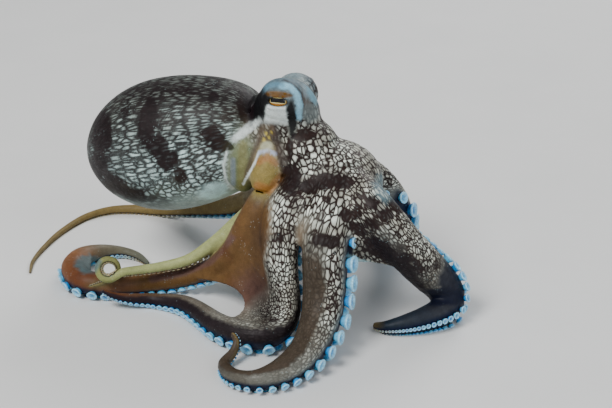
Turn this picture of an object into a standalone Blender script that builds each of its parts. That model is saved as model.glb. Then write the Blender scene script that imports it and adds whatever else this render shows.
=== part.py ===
"""A coconut octopus standing on its eight arms, life size, as a still museum model.

+X is the way the animal faces, +Y is its left side and +Z is up. It stands on the plane z = 0.
Sizes below are in millimetres and are turned into metres when a mesh is made.
"""

import math

import bmesh
import bpy
import numpy as np

MM = 0.001
GAP = 0.32              # clearance between two pieces that meet face to face
SHIFT = (32.4, -3.0)    # moves the drawing below so that its box is centred over the origin

# The mantle is a bag turned about a line from the neck to the hind end.
MANTLE_NECK = (-26.0, 0.0, 58.2)
MANTLE_END = (-90.6, 0.0, 38.8)
MANTLE_WIDTH = 0.93     # its width as a share of its height
MANTLE_PROFILE = [      # (share of the length, radius)
    (0.00, 11.5), (0.06, 15.6), (0.16, 18.9), (0.30, 21.5), (0.45, 22.9),
    (0.60, 22.7), (0.74, 20.3), (0.86, 15.8), (0.94, 10.3), (0.985, 5.0),
]

# Rounded masses, each a centre and three half lengths.
HEAD_CORE = ((-16.8, -2.0, 64.5), (11.3, 11.0, 13.0))
FOREHEAD = ((-9.3, -3.5, 53.8), (11.2, 11.6, 11.6))
EYE_MOUNDS = {"right": ((-15.6, -8.5, 72.9), (7.7, 7.2, 7.1)),
              "left": ((-16.9, 7.5, 69.2), (7.5, 7.0, 7.0))}
CROWN = ((0.0, -3.0, 44.5), (16.5, 16.5, 13.5))
COLLAR = ((-29.0, -10.5, 50.3), (5.7, 6.0, 10.9))
NECK_SIDE = ((-25.0, -6.0, 58.5), (6.5, 6.0, 8.0))

EYEBALLS = {"right": (-15.4, -10.1, 73.4), "left": (-16.7, 8.6, 69.4)}
EYE_RADIUS = 5.0
GAZES = {"right": (0.10, -0.93, 0.35), "left": (0.10, 0.95, 0.25)}
EYE_SLOT = (3.4, 1.6, 3.4)      # half length, half height and depth of the opening between the lids
SLOT_TILT = math.radians(0)
# The lids over and under an eye: height and distance out from the eye's centre, and half lengths.
LID_FORMS = [(2.3, 4.6, (4.2, 1.3, 1.2)), (-2.5, 4.6, (3.6, 1.0, 0.8))]

FUNNEL = [              # (x, y, z, radius)
    (-18.5, -6.0, 57.0, 5.6), (-19.3, -11.0, 51.0, 5.4), (-19.8, -13.9, 46.0, 5.0), (-20.0, -15.2, 43.2, 3.7),
]
FUNNEL_BORE = (2.2, 6.0)        # radius and depth

# Each arm runs from the crown to its tip: (x, y, z), radius, and the way its suckers face.
# The splits are the control points at which the arm is divided into lengths. The pitch is the
# spacing of its suckers along a row.
ARMS = {
    "right_1": {"pitch": 7.5, "splits": (3, 6), "course": [
        ((8.0, -9.0, 47.0), 7.0, (0.2, 0.6, -0.8)),
        ((19.4, -17.0, 42.0), 7.0, (0.1, 0.8, -0.6)),
        ((27.2, -13.6, 30.7), 7.1, (0.0, 0.85, -0.5)),
        ((33.9, -5.3, 18.4), 7.0, (0.1, 0.85, 0.0)),
        ((39.4, -0.2, 9.6), 6.3, (0.7, 0.7, 0.1)),
        ((41.1, -4.3, 5.32), 5.3, (0.9, 0.1, -0.3)),
        ((36.9, -11.4, 4.42), 4.4, (0.5, -0.65, -0.5)),
        ((30.9, -16.3, 3.42), 3.4, (0.2, -0.8, -0.6)),
        ((24.6, -19.1, 2.32), 2.3, (0.1, -0.8, -0.6)),
        ((20.0, -17.7, 1.22), 1.2, (0.0, -0.7, -0.7))]},
    "right_2": {"pitch": 6.6, "splits": (4, 8), "course": [
        ((3.5, -10.0, 48.0), 7.2, (0.4, 0.6, -0.7)),
        ((5.1, -22.7, 38.3), 7.7, (0.6, 0.6, -0.5)),
        ((6.1, -27.3, 28.6), 7.7, (0.8, 0.6, 0.0)),
        ((6.9, -30.1, 18.8), 7.3, (0.7, 0.7, 0.0)),
        ((7.8, -36.4, 10.9), 6.8, (0.75, 0.6, -0.3)),
        ((7.2, -47.6, 5.82), 5.8, (0.8, 0.1, -0.7)),
        ((3.6, -59.3, 4.52), 4.5, (0.2, -0.5, -0.9)),
        ((-2.8, -65.7, 3.42), 3.4, (0.0, -0.7, -0.8)),
        ((-10.8, -64.9, 2.62), 2.6, (0.0, -0.7, -0.8)),
        ((-16.7, -58.6, 2.02), 2.0, (0.0, -0.3, -0.9)),
        ((-15.6, -54.2, 4.0), 1.5, (0.3, 0.8, -0.4)),
        ((-15.3, -51.6, 6.6), 1.1, (0.3, 0.9, 0.0)),
        ((-17.0, -50.6, 9.0), 0.7, (0.3, 0.9, 0.0))]},
    "right_3": {"pitch": 7.0, "splits": (4, 8), "course": [
        ((-5.0, -8.0, 47.0), 6.8, (0.2, 0.7, -0.7)),
        ((-9.6, -20.5, 39.0), 6.7, (0.2, 0.8, -0.5)),
        ((-9.1, -27.8, 29.0), 5.8, (0.1, 0.95, -0.2)),
        ((-6.5, -30.9, 18.7), 4.6, (0.1, 0.95, -0.2)),
        ((-4.7, -34.4, 10.8), 4.6, (0.1, 0.3, -0.9)),
        ((-6.2, -40.4, 6.2), 4.8, (0.1, -0.4, -0.9)),
        ((-13.2, -43.7, 4.82), 4.8, (0.0, -0.6, -0.8)),
        ((-25.2, -40.6, 4.22), 4.2, (0.0, -0.6, -0.8)),
        ((-41.9, -29.9, 3.32), 3.3, (0.0, -0.6, -0.8)),
        ((-54.6, -28.6, 2.52), 2.4, (0.0, -0.5, -0.9)),
        ((-62.2, -32.4, 3.6), 1.8, (0.0, -0.5, -0.9)),
        ((-67.0, -34.8, 5.0), 1.3, (0.0, -0.5, -0.9)),
        ((-70.6, -35.9, 6.8), 0.7, (0.1, -0.4, -0.9))]},
    "right_4": {"pitch": 7.6, "splits": (4, 7, 10), "course": [
        ((-8.0, -5.0, 46.0), 6.4, (0.3, 0.6, -0.8)),
        ((-18.0, -12.5, 40.0), 6.0, (0.3, 0.5, -0.8)),
        ((-23.5, -18.0, 31.0), 5.4, (0.2, 0.4, -0.9)),
        ((-31.2, -17.6, 17.8), 4.4, (0.2, 0.2, -0.9)),
        ((-40.4, -14.6, 9.6), 3.9, (0.0, 0.0, -1.0)),
        ((-51.9, -16.0, 5.0), 3.7, (0.0, 0.0, -1.0)),
        ((-61.8, -20.2, 3.82), 3.8, (0.0, -0.1, -1.0)),
        ((-71.2, -26.6, 4.12), 4.1, (0.0, -0.5, -0.9)),
        ((-81.5, -28.4, 4.42), 4.4, (-0.1, -0.6, -0.8)),
        ((-89.4, -21.8, 4.42), 4.4, (-0.5, -0.4, -0.8)),
        ((-91.8, -11.6, 3.82), 3.8, (-0.4, -0.1, -0.9)),
        ((-88.6, -3.7, 2.92), 2.9, (0.1, -0.4, -0.9)),
        ((-82.4, 0.9, 2.02), 2.0, (0.1, -0.6, -0.8)),
        ((-75.6, 0.7, 1.52), 1.5, (0.1, -0.6, -0.8)),
        ((-70.2, -2.0, 0.82), 0.8, (0.1, -0.5, -0.9))]},
    "left_4": {"pitch": 9.5, "splits": (4,), "course": [
        ((-9.0, 3.0, 46.0), 6.2, (0.4, -0.2, -0.9)),
        ((-19.5, -0.5, 38.0), 5.4, (0.5, 0.0, -0.9)),
        ((-26.0, -7.0, 31.1), 4.1, (0.4, 0.2, -0.9)),
        ((-32.6, -9.0, 25.2), 3.1, (0.2, 0.3, -0.9)),
        ((-39.3, -13.9, 19.3), 2.4, (0.0, 0.4, -0.9)),
        ((-46.7, -17.8, 14.1), 1.95, (0.0, 0.4, -0.9)),
        ((-55.0, -21.4, 11.8), 1.7, (0.0, 0.4, -0.9)),
        ((-61.2, -25.9, 11.6), 1.55, (0.0, 0.4, -0.9)),
        ((-65.3, -29.8, 12.0), 1.45, (-0.3, 0.4, -0.8))]},
    "left_3": {"pitch": 12.5, "splits": (3, 6, 9), "course": [
        ((-9.0, 5.0, 47.0), 6.4, (0.4, -0.5, -0.8)),
        ((-18.5, 11.0, 38.0), 5.8, (0.4, -0.3, -0.9)),
        ((-31.0, 19.5, 26.5), 4.9, (0.3, -0.2, -0.9)),
        ((-48.0, 28.0, 14.5), 3.9, (0.1, 0.0, -1.0)),
        ((-68.0, 35.0, 6.6), 2.9, (0.0, 0.0, -1.0)),
        ((-84.0, 37.6, 2.12), 2.1, (0.0, 0.0, -1.0)),
        ((-95.7, 35.4, 1.72), 1.7, (0.0, 0.0, -1.0)),
        ((-103.3, 31.6, 1.52), 1.5, (0.0, 0.0, -1.0)),
        ((-109.0, 23.5, 1.32), 1.3, (0.0, 0.0, -1.0)),
        ((-111.6, 10.3, 1.12), 1.1, (0.0, 0.0, -1.0)),
        ((-111.6, -2.6, 0.92), 0.9, (0.0, 0.0, -1.0)),
        ((-110.0, -14.2, 0.72), 0.7, (0.0, 0.0, -1.0)),
        ((-106.7, -22.3, 0.47), 0.45, (0.0, 0.0, -1.0))]},
    "left_2": {"pitch": 10.5, "splits": (3, 6, 9), "course": [
        ((-3.0, 6.0, 47.0), 6.6, (0.2, -0.6, -0.8)),
        ((-6.0, 18.0, 39.0), 6.3, (0.2, -0.6, -0.8)),
        ((-12.0, 29.0, 28.5), 5.7, (0.2, -0.6, -0.8)),
        ((-19.0, 38.0, 17.0), 5.0, (0.2, -0.6, -0.8)),
        ((-23.0, 45.5, 9.2), 4.4, (0.1, -0.3, -0.9)),
        ((-24.0, 53.5, 5.9), 3.8, (0.0, 0.0, -1.0)),
        ((-21.0, 62.0, 3.22), 3.2, (0.0, 0.0, -1.0)),
        ((-25.5, 70.0, 2.72), 2.7, (0.0, 0.0, -1.0)),
        ((-36.0, 74.0, 2.22), 2.2, (0.0, 0.0, -1.0)),
        ((-45.0, 70.0, 1.72), 1.7, (0.0, 0.0, -1.0)),
        ((-46.0, 62.0, 1.32), 1.3, (0.0, 0.0, -1.0)),
        ((-39.5, 58.5, 0.82), 0.8, (0.0, 0.0, -1.0))]},
    "left_1": {"pitch": 10.0, "splits": (3, 6), "course": [
        ((3.0, 2.0, 48.0), 6.8, (0.5, -0.2, -0.8)),
        ((10.0, 10.0, 39.7), 6.8, (0.5, 0.0, -0.85)),
        ((15.0, 15.4, 30.0), 6.4, (0.9, -0.3, -0.5)),
        ((15.5, 22.5, 19.5), 5.7, (0.9, -0.5, -0.3)),
        ((12.5, 31.0, 11.0), 5.0, (0.3, -0.6, -0.8)),
        ((7.0, 40.5, 6.8), 4.3, (0.0, -0.1, -1.0)),
        ((3.0, 50.0, 3.72), 3.7, (0.0, 0.0, -1.0)),
        ((5.0, 59.0, 3.12), 3.1, (0.0, 0.0, -1.0)),
        ((1.0, 67.0, 2.62), 2.6, (0.0, 0.0, -1.0)),
        ((-6.5, 68.6, 2.02), 2.0, (0.0, 0.0, -1.0)),
        ((-9.8, 62.6, 1.52), 1.5, (0.0, 0.0, -1.0)),
        ((-4.0, 59.0, 0.92), 0.9, (0.0, 0.0, -1.0))]},
}
LENGTH_NAMES = {2: ("upper", "tip"), 3: ("upper", "middle", "tip"),
                4: ("upper", "middle", "lower", "tip")}

# The tip of the pale arm winds once round a ring that faces the animal's right side, and leaves it behind.
# Each point: (angle in the ring's plane in degrees, reach from its centre, radius, how far it stands back).
COIL_ARM = "left_4"
COIL_CENTRE = (-70.5, -31.1, 12.7)
COIL_OUT = (0.94, 0.34, 0.0)        # level direction in the coil's plane, towards the arm
COIL_UP = (-0.145, 0.397, 0.906)
COIL_TURNS = [
    (-40, 3.45, 1.48, 0.0), (-85, 3.35, 1.46, 0.0), (-130, 3.3, 1.42, 0.0), (-175, 3.3, 1.36, 0.0),
    (-220, 3.3, 1.28, 0.1), (-265, 3.3, 1.18, 0.5), (-310, 3.3, 1.05, 1.3), (-350, 3.2, 0.92, 2.3),
    (-390, 3.2, 0.84, 2.8), (-430, 3.4, 0.76, 2.8), (-460, 4.2, 0.68, 2.8), (-482, 5.7, 0.60, 2.7),
    (-492, 7.4, 0.52, 2.5), (-499, 9.2, 0.42, 2.3),
]

# Each web: its two arms, how far along each it reaches in control points, and how deep its free edge dips.
WEBS = [
    ("right_1", "right_2", (0.6, 3.1), (0.6, 2.5), 0.24),
    ("right_2", "right_3", (0.6, 2.3), (0.6, 2.2), 0.30),
    ("right_3", "right_4", (0.6, 8.1), (0.7, 5.3), 0.37),
    ("right_4", "right_4", (8.7, 7.7), (9.3, 10.8), 0.12),
    ("right_4", "left_4", (0.8, 4.3), (0.8, 4.4), 0.10),
    ("left_4", "left_3", (0.8, 2.6), (0.7, 2.4), 0.40),
    ("left_3", "left_2", (0.6, 2.5), (0.7, 2.7), 0.34),
    ("left_2", "left_1", (0.7, 2.7), (0.6, 2.9), 0.34),
    ("left_1", "right_1", (0.6, 2.2), (0.6, 2.2), 0.30),
]
WEB_THICKNESS = (1.7, 1.0)          # at the crown and at the free edge
WEB_LIFT = (0.70, 0.25)             # towards the arm's back, as a share of its radius

ARM_SIDES = 8
FLATTER = 0.10                      # how much the sucker side is pressed in
SUCKER_SPREAD = math.radians(31)    # half the angle between the two rows
SUCKER_SIZE = 0.40                  # rim radius as a share of the arm's radius
LEAST_SUCKER = 0.50
FIRST_SUCKER = 1.3                  # in control points from the crown
NEIGHBOUR_REACH = 4                 # arms are cut clear of each other up to this control point

# Colour, roughness.
SKIN_PALE = ((0.44, 0.38, 0.33), 0.45)
SKIN_DARK = ((0.15, 0.09, 0.07), 0.45)
SKIN_TAN = ((0.36, 0.20, 0.10), 0.40)
SKIN_OLIVE = ((0.42, 0.38, 0.16), 0.40)
FUNNEL_ORANGE = ((0.62, 0.30, 0.07), 0.38)
EYE_GOLD = ((0.62, 0.34, 0.06), 0.15)


def clear_scene():
    for obj in list(bpy.data.objects):
        bpy.data.objects.remove(obj, do_unlink=True)


def material(name, finish):
    made = bpy.data.materials.get(name) or bpy.data.materials.new(name)
    made.use_nodes = True
    shader = made.node_tree.nodes["Principled BSDF"]
    shader.inputs["Base Color"].default_value = (*finish[0], 1.0)
    shader.inputs["Roughness"].default_value = finish[1]
    shader.inputs["Metallic"].default_value = 0.0
    return made


def unit(vector):
    vector = np.asarray(vector, float)
    return vector / np.linalg.norm(vector)


def mesh_object(name, points, faces, finish=None):
    """A closed mesh from millimetre points, with its faces turned outwards."""
    mesh = bpy.data.meshes.new(name)
    moved = (np.asarray(points, float) + (*SHIFT, 0.0)) * MM
    mesh.from_pydata([tuple(p) for p in moved], [], [tuple(f) for f in faces])
    work = bmesh.new()
    work.from_mesh(mesh)
    bmesh.ops.recalc_face_normals(work, faces=work.faces)
    work.to_mesh(mesh)
    work.free()
    obj = bpy.data.objects.new(name, mesh)
    bpy.context.scene.collection.objects.link(obj)
    if finish:
        mesh.materials.append(material(*finish))
    return obj


def loft(rings, start_point=None, end_point=None):
    """Points and faces of a skin over rings of equal count, closed by fans to a point at each end."""
    sides = len(rings[0])
    points = [p for ring in rings for p in ring]
    faces = []
    for r in range(len(rings) - 1):
        for k in range(sides):
            a, b = r * sides + k, r * sides + (k + 1) % sides
            faces += [(a, b, b + sides), (a, b + sides, a + sides)]
    for ring, point in ((0, start_point), (len(rings) - 1, end_point)):
        centre = np.mean(rings[ring], axis=0) if point is None else point
        points.append(centre)
        for k in range(sides):
            faces.append((ring * sides + k, ring * sides + (k + 1) % sides, len(points) - 1))
    return points, faces


def ellipsoid(centre, halves, grow=0.0, sides=14, rows=9):
    """A ball squashed to three half lengths, with its poles on the Y axis."""
    centre, halves = np.array(centre), np.array(halves) + grow
    rings = []
    for r in range(1, rows):
        polar = math.pi * r / rows
        turn = np.linspace(0, 2 * math.pi, sides, endpoint=False)
        ring = np.stack([np.cos(turn) * math.sin(polar), np.full(sides, math.cos(polar)),
                         np.sin(turn) * math.sin(polar)], axis=1)
        rings.append(centre + ring * halves)
    pole = np.array([0.0, halves[1], 0.0])
    return loft(rings, centre + pole, centre - pole)


def through(values, at):
    """Reads a smooth curve through the rows of values at the given positions, counted in rows."""
    values = np.asarray(values, float)
    values = values.reshape(len(values), -1)
    ends = 2 * values[[0, -1]] - values[[1, -2]]
    rows = np.vstack([ends[:1], values, ends[1:]])
    at = np.clip(np.atleast_1d(at), 0, len(values) - 1)
    i = np.minimum(at.astype(int), len(values) - 2)
    t = (at - i)[:, None]
    a, b, c, d = rows[i], rows[i + 1], rows[i + 2], rows[i + 3]
    return 0.5 * (2 * b + (c - a) * t + (2 * a - 5 * b + 4 * c - d) * t**2 + (3 * b - a - 3 * c + d) * t**3)


def coil_course():
    """The coil's own control points, which follow those of its arm."""
    out, up, centre = unit(COIL_OUT), unit(COIL_UP), np.array(COIL_CENTRE)
    course = []
    for degrees, reach, radius, behind in COIL_TURNS:
        angle = math.radians(degrees)
        inward = -(out * math.cos(angle) + up * math.sin(angle))
        point = centre - inward * reach - np.cross(out, up) * behind
        course.append((tuple(point), radius, tuple(inward)))
    return course


def arm_course(name):
    course = ARMS[name]["course"]
    return course + coil_course() if name == COIL_ARM else course


class Arm:
    """A smooth, tapering course with a sucker side, read by its length from the crown."""

    def __init__(self, name):
        course = arm_course(name)
        self.pitch = ARMS[name]["pitch"]
        rows = np.array([(*point, radius, *unit(face)) for point, radius, face in course])
        self.at = np.arange(0, len(rows) - 1 + 1e-9, 0.05)
        dense = through(rows, self.at)
        self.points, self.radii = dense[:, :3], np.maximum(dense[:, 3], 0.25)
        steps = np.linalg.norm(np.diff(self.points, axis=0), axis=1)
        self.lengths = np.concatenate([[0], np.cumsum(steps)])
        self.tangents = np.gradient(self.points, axis=0)
        self.tangents /= np.linalg.norm(self.tangents, axis=1)[:, None]
        along = (dense[:, 4:] * self.tangents).sum(1)[:, None] * self.tangents
        self.faces = dense[:, 4:] - along
        self.faces /= np.linalg.norm(self.faces, axis=1)[:, None]
        self.backs = [-self.faces[0]]
        for tangent in self.tangents[1:]:
            before = self.backs[-1]
            self.backs.append(unit(before - (before @ tangent) * tangent))
        self.backs = np.array(self.backs)
        self.marks = [0.0, *(self.length_at(split) for split in ARMS[name]["splits"]), self.lengths[-1]]
        self.sections = [0.0]
        for start, end in zip(self.marks, self.marks[1:]):
            self.sections += self.spaced(start, end)

    def length_at(self, control):
        return float(np.interp(control, self.at, self.lengths))

    def read(self, length):
        """Point, radius, tangent, sucker direction and sideways direction at a length from the crown."""
        def value(column):
            return np.array([np.interp(length, self.lengths, column[:, k]) for k in range(3)])
        radius = float(np.interp(length, self.lengths, self.radii))
        tangent, face = unit(value(self.tangents)), value(self.faces)
        face = unit(face - (face @ tangent) * tangent)
        return value(self.points), radius, tangent, face, np.cross(tangent, face)

    def ring(self, length, grow=0.0):
        """One section: round, a little flatter where the suckers are. It doesn't twist along the arm."""
        point, radius, tangent, face, _ = self.read(length)
        back = unit([np.interp(length, self.lengths, self.backs[:, k]) for k in range(3)])
        side = np.cross(tangent, back)
        ring = []
        for k in range(ARM_SIDES):
            turn = 2 * math.pi * (k + 0.5) / ARM_SIDES
            out = math.cos(turn) * back + math.sin(turn) * side
            ring.append(point + (radius + grow) * (1.0 - FLATTER * max(0.0, out @ face) ** 2) * out)
        return ring

    def spaced(self, start, end):
        """Lengths of the sections after start, up to end: closer where the arm is thin or bends."""
        found = [start]
        while True:
            _, radius, tangent, _, _ = self.read(found[-1])
            step = 1.6 * radius + 2.6
            ahead = self.read(min(found[-1] + step, end))[2]
            bend = math.acos(float(np.clip(tangent @ ahead, -1, 1)))
            step /= max(1.0, bend / math.radians(32))
            if found[-1] + 1.4 * step >= end:
                return [*found[1:], end]
            found.append(found[-1] + step)

    def tube(self, start, end, grow=0.0):
        """The closed tube between two lengths, with a rounded tip where it is the arm's last length."""
        tip = end >= self.lengths[-1] - 1e-6
        inside = [length for length in self.sections if start + GAP < length < end - GAP]
        rings = [self.ring(length, grow) for length in (start, *inside, end)]
        point, radius, tangent, _, _ = self.read(end)
        cap = point + tangent * (radius + grow) * (0.7 if tip else 0.0)
        return loft(rings, None, cap)

    def suckers(self, start, end, first, grow=0.0):
        """Cup shapes in two staggered rows between two lengths."""
        made = []
        for row in (-1, 1):
            length = first + (0.5 * self.pitch if row > 0 else 0.0)
            while length < self.lengths[-1] - 1.0:
                point, radius, tangent, face, side = self.read(length)
                size = max(SUCKER_SIZE * radius, LEAST_SUCKER)
                clear = size + 0.6
                if start + clear < length < end - (0.3 if end >= self.lengths[-1] - 1e-6 else clear):
                    out = unit(math.cos(SUCKER_SPREAD) * face + row * math.sin(SUCKER_SPREAD) * side)
                    made.append(sucker(point + out * radius * 0.86, out, tangent, size, grow))
                length += self.pitch
        return made

    def outline(self, end):
        """The arm and its suckers from the crown to a length, grown by the clearance."""
        return [self.tube(0.0, end, GAP), *self.suckers(0.0, end, self.length_at(FIRST_SUCKER), 1.2 * GAP)]


def sucker(foot, out, along, size, grow=0.0):
    """A cup: narrow foot sunk in the arm, wide rim and a hollow face (a full one where it is grown)."""
    sides = 6 if size > 1.8 else 5
    across = unit(np.cross(out, along))
    along = np.cross(across, out)

    def ring(radius, height):
        return [foot + out * height + radius * (math.cos(t) * along + math.sin(t) * across)
                for t in np.linspace(0, 2 * math.pi, sides, endpoint=False)]

    rings = [ring(0.66 * size + grow, -0.55 * size), ring(size + grow, 0.80 * size + grow)]
    return loft(rings, None, foot + out * (0.80 * size + grow if grow else 0.45 * size))


def fused(obj, pieces, operation="UNION"):
    """Joins closed pieces to obj, or cuts them from it, and applies the result."""
    if not pieces:
        return obj
    group = bpy.data.collections.new("pieces")
    bpy.context.scene.collection.children.link(group)
    for k, (points, faces) in enumerate(pieces):
        piece = mesh_object(f"piece_{k}", points, faces)
        bpy.context.scene.collection.objects.unlink(piece)
        group.objects.link(piece)
    join = obj.modifiers.new("join", "BOOLEAN")
    join.operation = operation
    join.operand_type = "COLLECTION"
    join.collection = group
    join.solver = "MANIFOLD"
    graph = bpy.context.evaluated_depsgraph_get()
    result = bpy.data.meshes.new_from_object(obj.evaluated_get(graph))
    obj.modifiers.remove(join)
    old, obj.data = obj.data, result
    bpy.data.meshes.remove(old)
    for piece in list(group.objects):
        bpy.data.objects.remove(piece, do_unlink=True)
    bpy.data.collections.remove(group)
    return obj


def keep_largest(obj):
    """Leaves only the largest closed surface, so that the node is one body."""
    work = bmesh.new()
    work.from_mesh(obj.data)
    work.faces.ensure_lookup_table()
    left, islands = set(work.faces), []
    while left:
        front, island = [left.pop()], []
        while front:
            face = front.pop()
            island.append(face)
            for edge in face.edges:
                for other in edge.link_faces:
                    if other in left:
                        left.remove(other)
                        front.append(other)
        islands.append(island)
    islands.sort(key=lambda island: sum(face.calc_area() for face in island))
    loose = [face for island in islands[:-1] for face in island]
    if loose:
        bmesh.ops.delete(work, geom=loose, context="FACES")
        work.to_mesh(obj.data)
    work.free()


def solid(name, shape, finish, join=(), cut=()):
    """One node: a first shape, the pieces joined to it and the pieces cut from it."""
    obj = mesh_object(name, *shape, finish)
    fused(obj, list(join))
    for piece in cut:
        fused(obj, [piece], "DIFFERENCE")
    keep_largest(obj)
    obj.data.shade_smooth()
    obj.data.set_sharp_from_angle(angle=math.radians(50))
    return obj


def mantle_shape(grow=0.0, sides=22):
    neck, end = np.array(MANTLE_NECK), np.array(MANTLE_END)
    axis = unit(end - neck)
    across = np.array([0.0, 1.0, 0.0])
    up = np.cross(axis, across)
    shares = [share for share, _ in MANTLE_PROFILE]
    rings = []
    for position in np.arange(0, len(shares) - 1 + 1e-9, 0.75):
        share, radius = through(MANTLE_PROFILE, position)[0]
        middle = neck + (end - neck) * share
        turn = np.linspace(0, 2 * math.pi, sides, endpoint=False)
        rings.append([middle + (radius + grow) * (math.cos(t) * up + MANTLE_WIDTH * math.sin(t) * across)
                      for t in turn])
    return loft(rings, neck - axis * grow, end + axis * grow)


def eye_frame(side):
    """Gaze, level and upright directions of one eye."""
    gaze = unit(GAZES[side])
    level = unit(np.cross(gaze, (0.0, 0.0, 1.0)) * (-1 if side == "right" else 1))
    upright = unit(np.cross(level, gaze))
    upright = upright if upright[2] > 0 else -upright
    return gaze, math.cos(SLOT_TILT) * level + math.sin(SLOT_TILT) * upright, \
        math.cos(SLOT_TILT) * upright - math.sin(SLOT_TILT) * level


def turned_ellipsoid(centre, halves, axes, sides=14, rows=8):
    """An ellipsoid whose half lengths lie along three axes of its own."""
    points, faces = ellipsoid((0, 0, 0), halves, sides=sides, rows=rows)
    return np.array(centre) + np.array(points) @ np.array(axes), faces


def eye_socket(side, grow):
    """The ball's room in the head and the opening between the lids."""
    gaze, level, upright = eye_frame(side)
    centre = np.array(EYEBALLS[side])
    length, height, depth = EYE_SLOT
    ball = ellipsoid(centre, (EYE_RADIUS + grow,) * 3, sides=20, rows=12)
    slot = turned_ellipsoid(centre + gaze * (EYE_RADIUS + 0.6), (length, depth, height),
                            (level, gaze, upright))
    return [ball, slot]


def head_pieces(grow=0.0):
    """The rounded masses of the head and the mounds that carry its eyes."""
    forms = (HEAD_CORE, FOREHEAD, NECK_SIDE, *EYE_MOUNDS.values())
    return [ellipsoid(*form, grow, sides=20, rows=12) for form in forms]


def lid_pieces(side):
    """The fold over an eye and the fold under it."""
    gaze, level, upright = eye_frame(side)
    centre = np.array(EYEBALLS[side])
    return [turned_ellipsoid(centre + upright * height + gaze * out, halves, (level, gaze, upright))
            for height, out, halves in LID_FORMS]


def funnel_shape(grow=0.0, sides=12):
    rows = np.array(FUNNEL)
    rings = []
    for position in (0.0, 0.6, 1.1, 1.6, 2.0, 2.5, 3.0):
        x, y, z, radius = through(rows, position)[0]
        ahead = through(rows, min(position + 0.1, 3.0))[0][:3] - through(rows, max(position - 0.1, 0))[0][:3]
        axis = unit(ahead)
        level = unit(np.cross(axis, (0.0, 0.0, 1.0)))
        upright = np.cross(level, axis)
        rings.append([np.array((x, y, z)) + (radius + grow) * (math.cos(t) * level + math.sin(t) * upright)
                      for t in np.linspace(0, 2 * math.pi, sides, endpoint=False)])
    tip = np.array(FUNNEL[-1][:3]) + unit(np.array(FUNNEL[-1][:3]) - FUNNEL[-2][:3]) * (0.8 + grow)
    return loft(rings, None, tip)


def funnel_bore():
    """The hole in the funnel's end."""
    end, before = np.array(FUNNEL[-1][:3]), np.array(FUNNEL[-2][:3])
    axis = unit(end - before)
    level = unit(np.cross(axis, (0.0, 0.0, 1.0)))
    upright = np.cross(level, axis)
    radius, depth = FUNNEL_BORE
    rings = [[end + axis * along + radius * wide * (math.cos(t) * level + math.sin(t) * upright)
              for t in np.linspace(0, 2 * math.pi, 10, endpoint=False)]
             for along, wide in ((-depth, 0.6), (0.0, 1.0), (2.0, 1.1))]
    return loft(rings)


def web_shape(arms, first, second, reach_first, reach_second, dip):
    """A thin skin between two arms, whose free edge curves back towards the crown."""
    columns, rows = 7, 7
    grid = np.zeros((2, rows, columns, 3))
    middle = np.zeros((rows, columns, 3))
    for j in range(columns):
        across = j / (columns - 1)
        bow = 1.0 - dip * 4 * across * (1 - across)
        for i in range(rows):
            down = i / (rows - 1) * bow
            ends = []
            for arm, reach in ((arms[first], reach_first), (arms[second], reach_second)):
                control = reach[0] + (reach[1] - reach[0]) * down
                point, radius, _, face, _ = arm.read(arm.length_at(control))
                lift = WEB_LIFT[0] + (WEB_LIFT[1] - WEB_LIFT[0]) * down
                ends.append(point - face * radius * lift)
            middle[i, j] = ends[0] * (1 - across) + ends[1] * across
    down_way = np.gradient(middle, axis=0)
    across_way = np.gradient(middle, axis=1)
    normal = np.cross(down_way, across_way)
    normal /= np.linalg.norm(normal, axis=2)[:, :, None]
    for i in range(rows):
        half = 0.5 * (WEB_THICKNESS[0] + (WEB_THICKNESS[1] - WEB_THICKNESS[0]) * i / (rows - 1))
        grid[0, i] = middle[i] + normal[i] * half
        grid[1, i] = middle[i] - normal[i] * half
    points = grid.reshape(-1, 3)

    def index(face, i, j):
        return (face * rows + i) * columns + j

    faces = []
    for face in (0, 1):
        for i in range(rows - 1):
            for j in range(columns - 1):
                a, b = index(face, i, j), index(face, i, j + 1)
                c, d = index(face, i + 1, j + 1), index(face, i + 1, j)
                faces += [(a, b, c), (a, c, d)]
    rim = [(0, j) for j in range(columns)] + [(i, columns - 1) for i in range(1, rows)]
    rim += [(rows - 1, j) for j in range(columns - 2, -1, -1)] + [(i, 0) for i in range(rows - 2, 0, -1)]
    for k, here in enumerate(rim):
        there = rim[(k + 1) % len(rim)]
        faces.append((index(0, *here), index(0, *there), index(1, *there), index(1, *here)))
    return points, faces


def floor_block():
    """Everything below z = 0, cut away so that the model stands on small flats."""
    low, high = -200.0, 200.0
    square = ((low, low), (high, low), (high, high), (low, high))
    corners = [(x, y, z) for z in (-40.0, 0.0) for x, y in square]
    faces = [(0, 3, 2, 1), (4, 5, 6, 7), (0, 1, 5, 4), (1, 2, 6, 5), (2, 3, 7, 6), (3, 0, 4, 7)]
    return corners, faces


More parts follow.
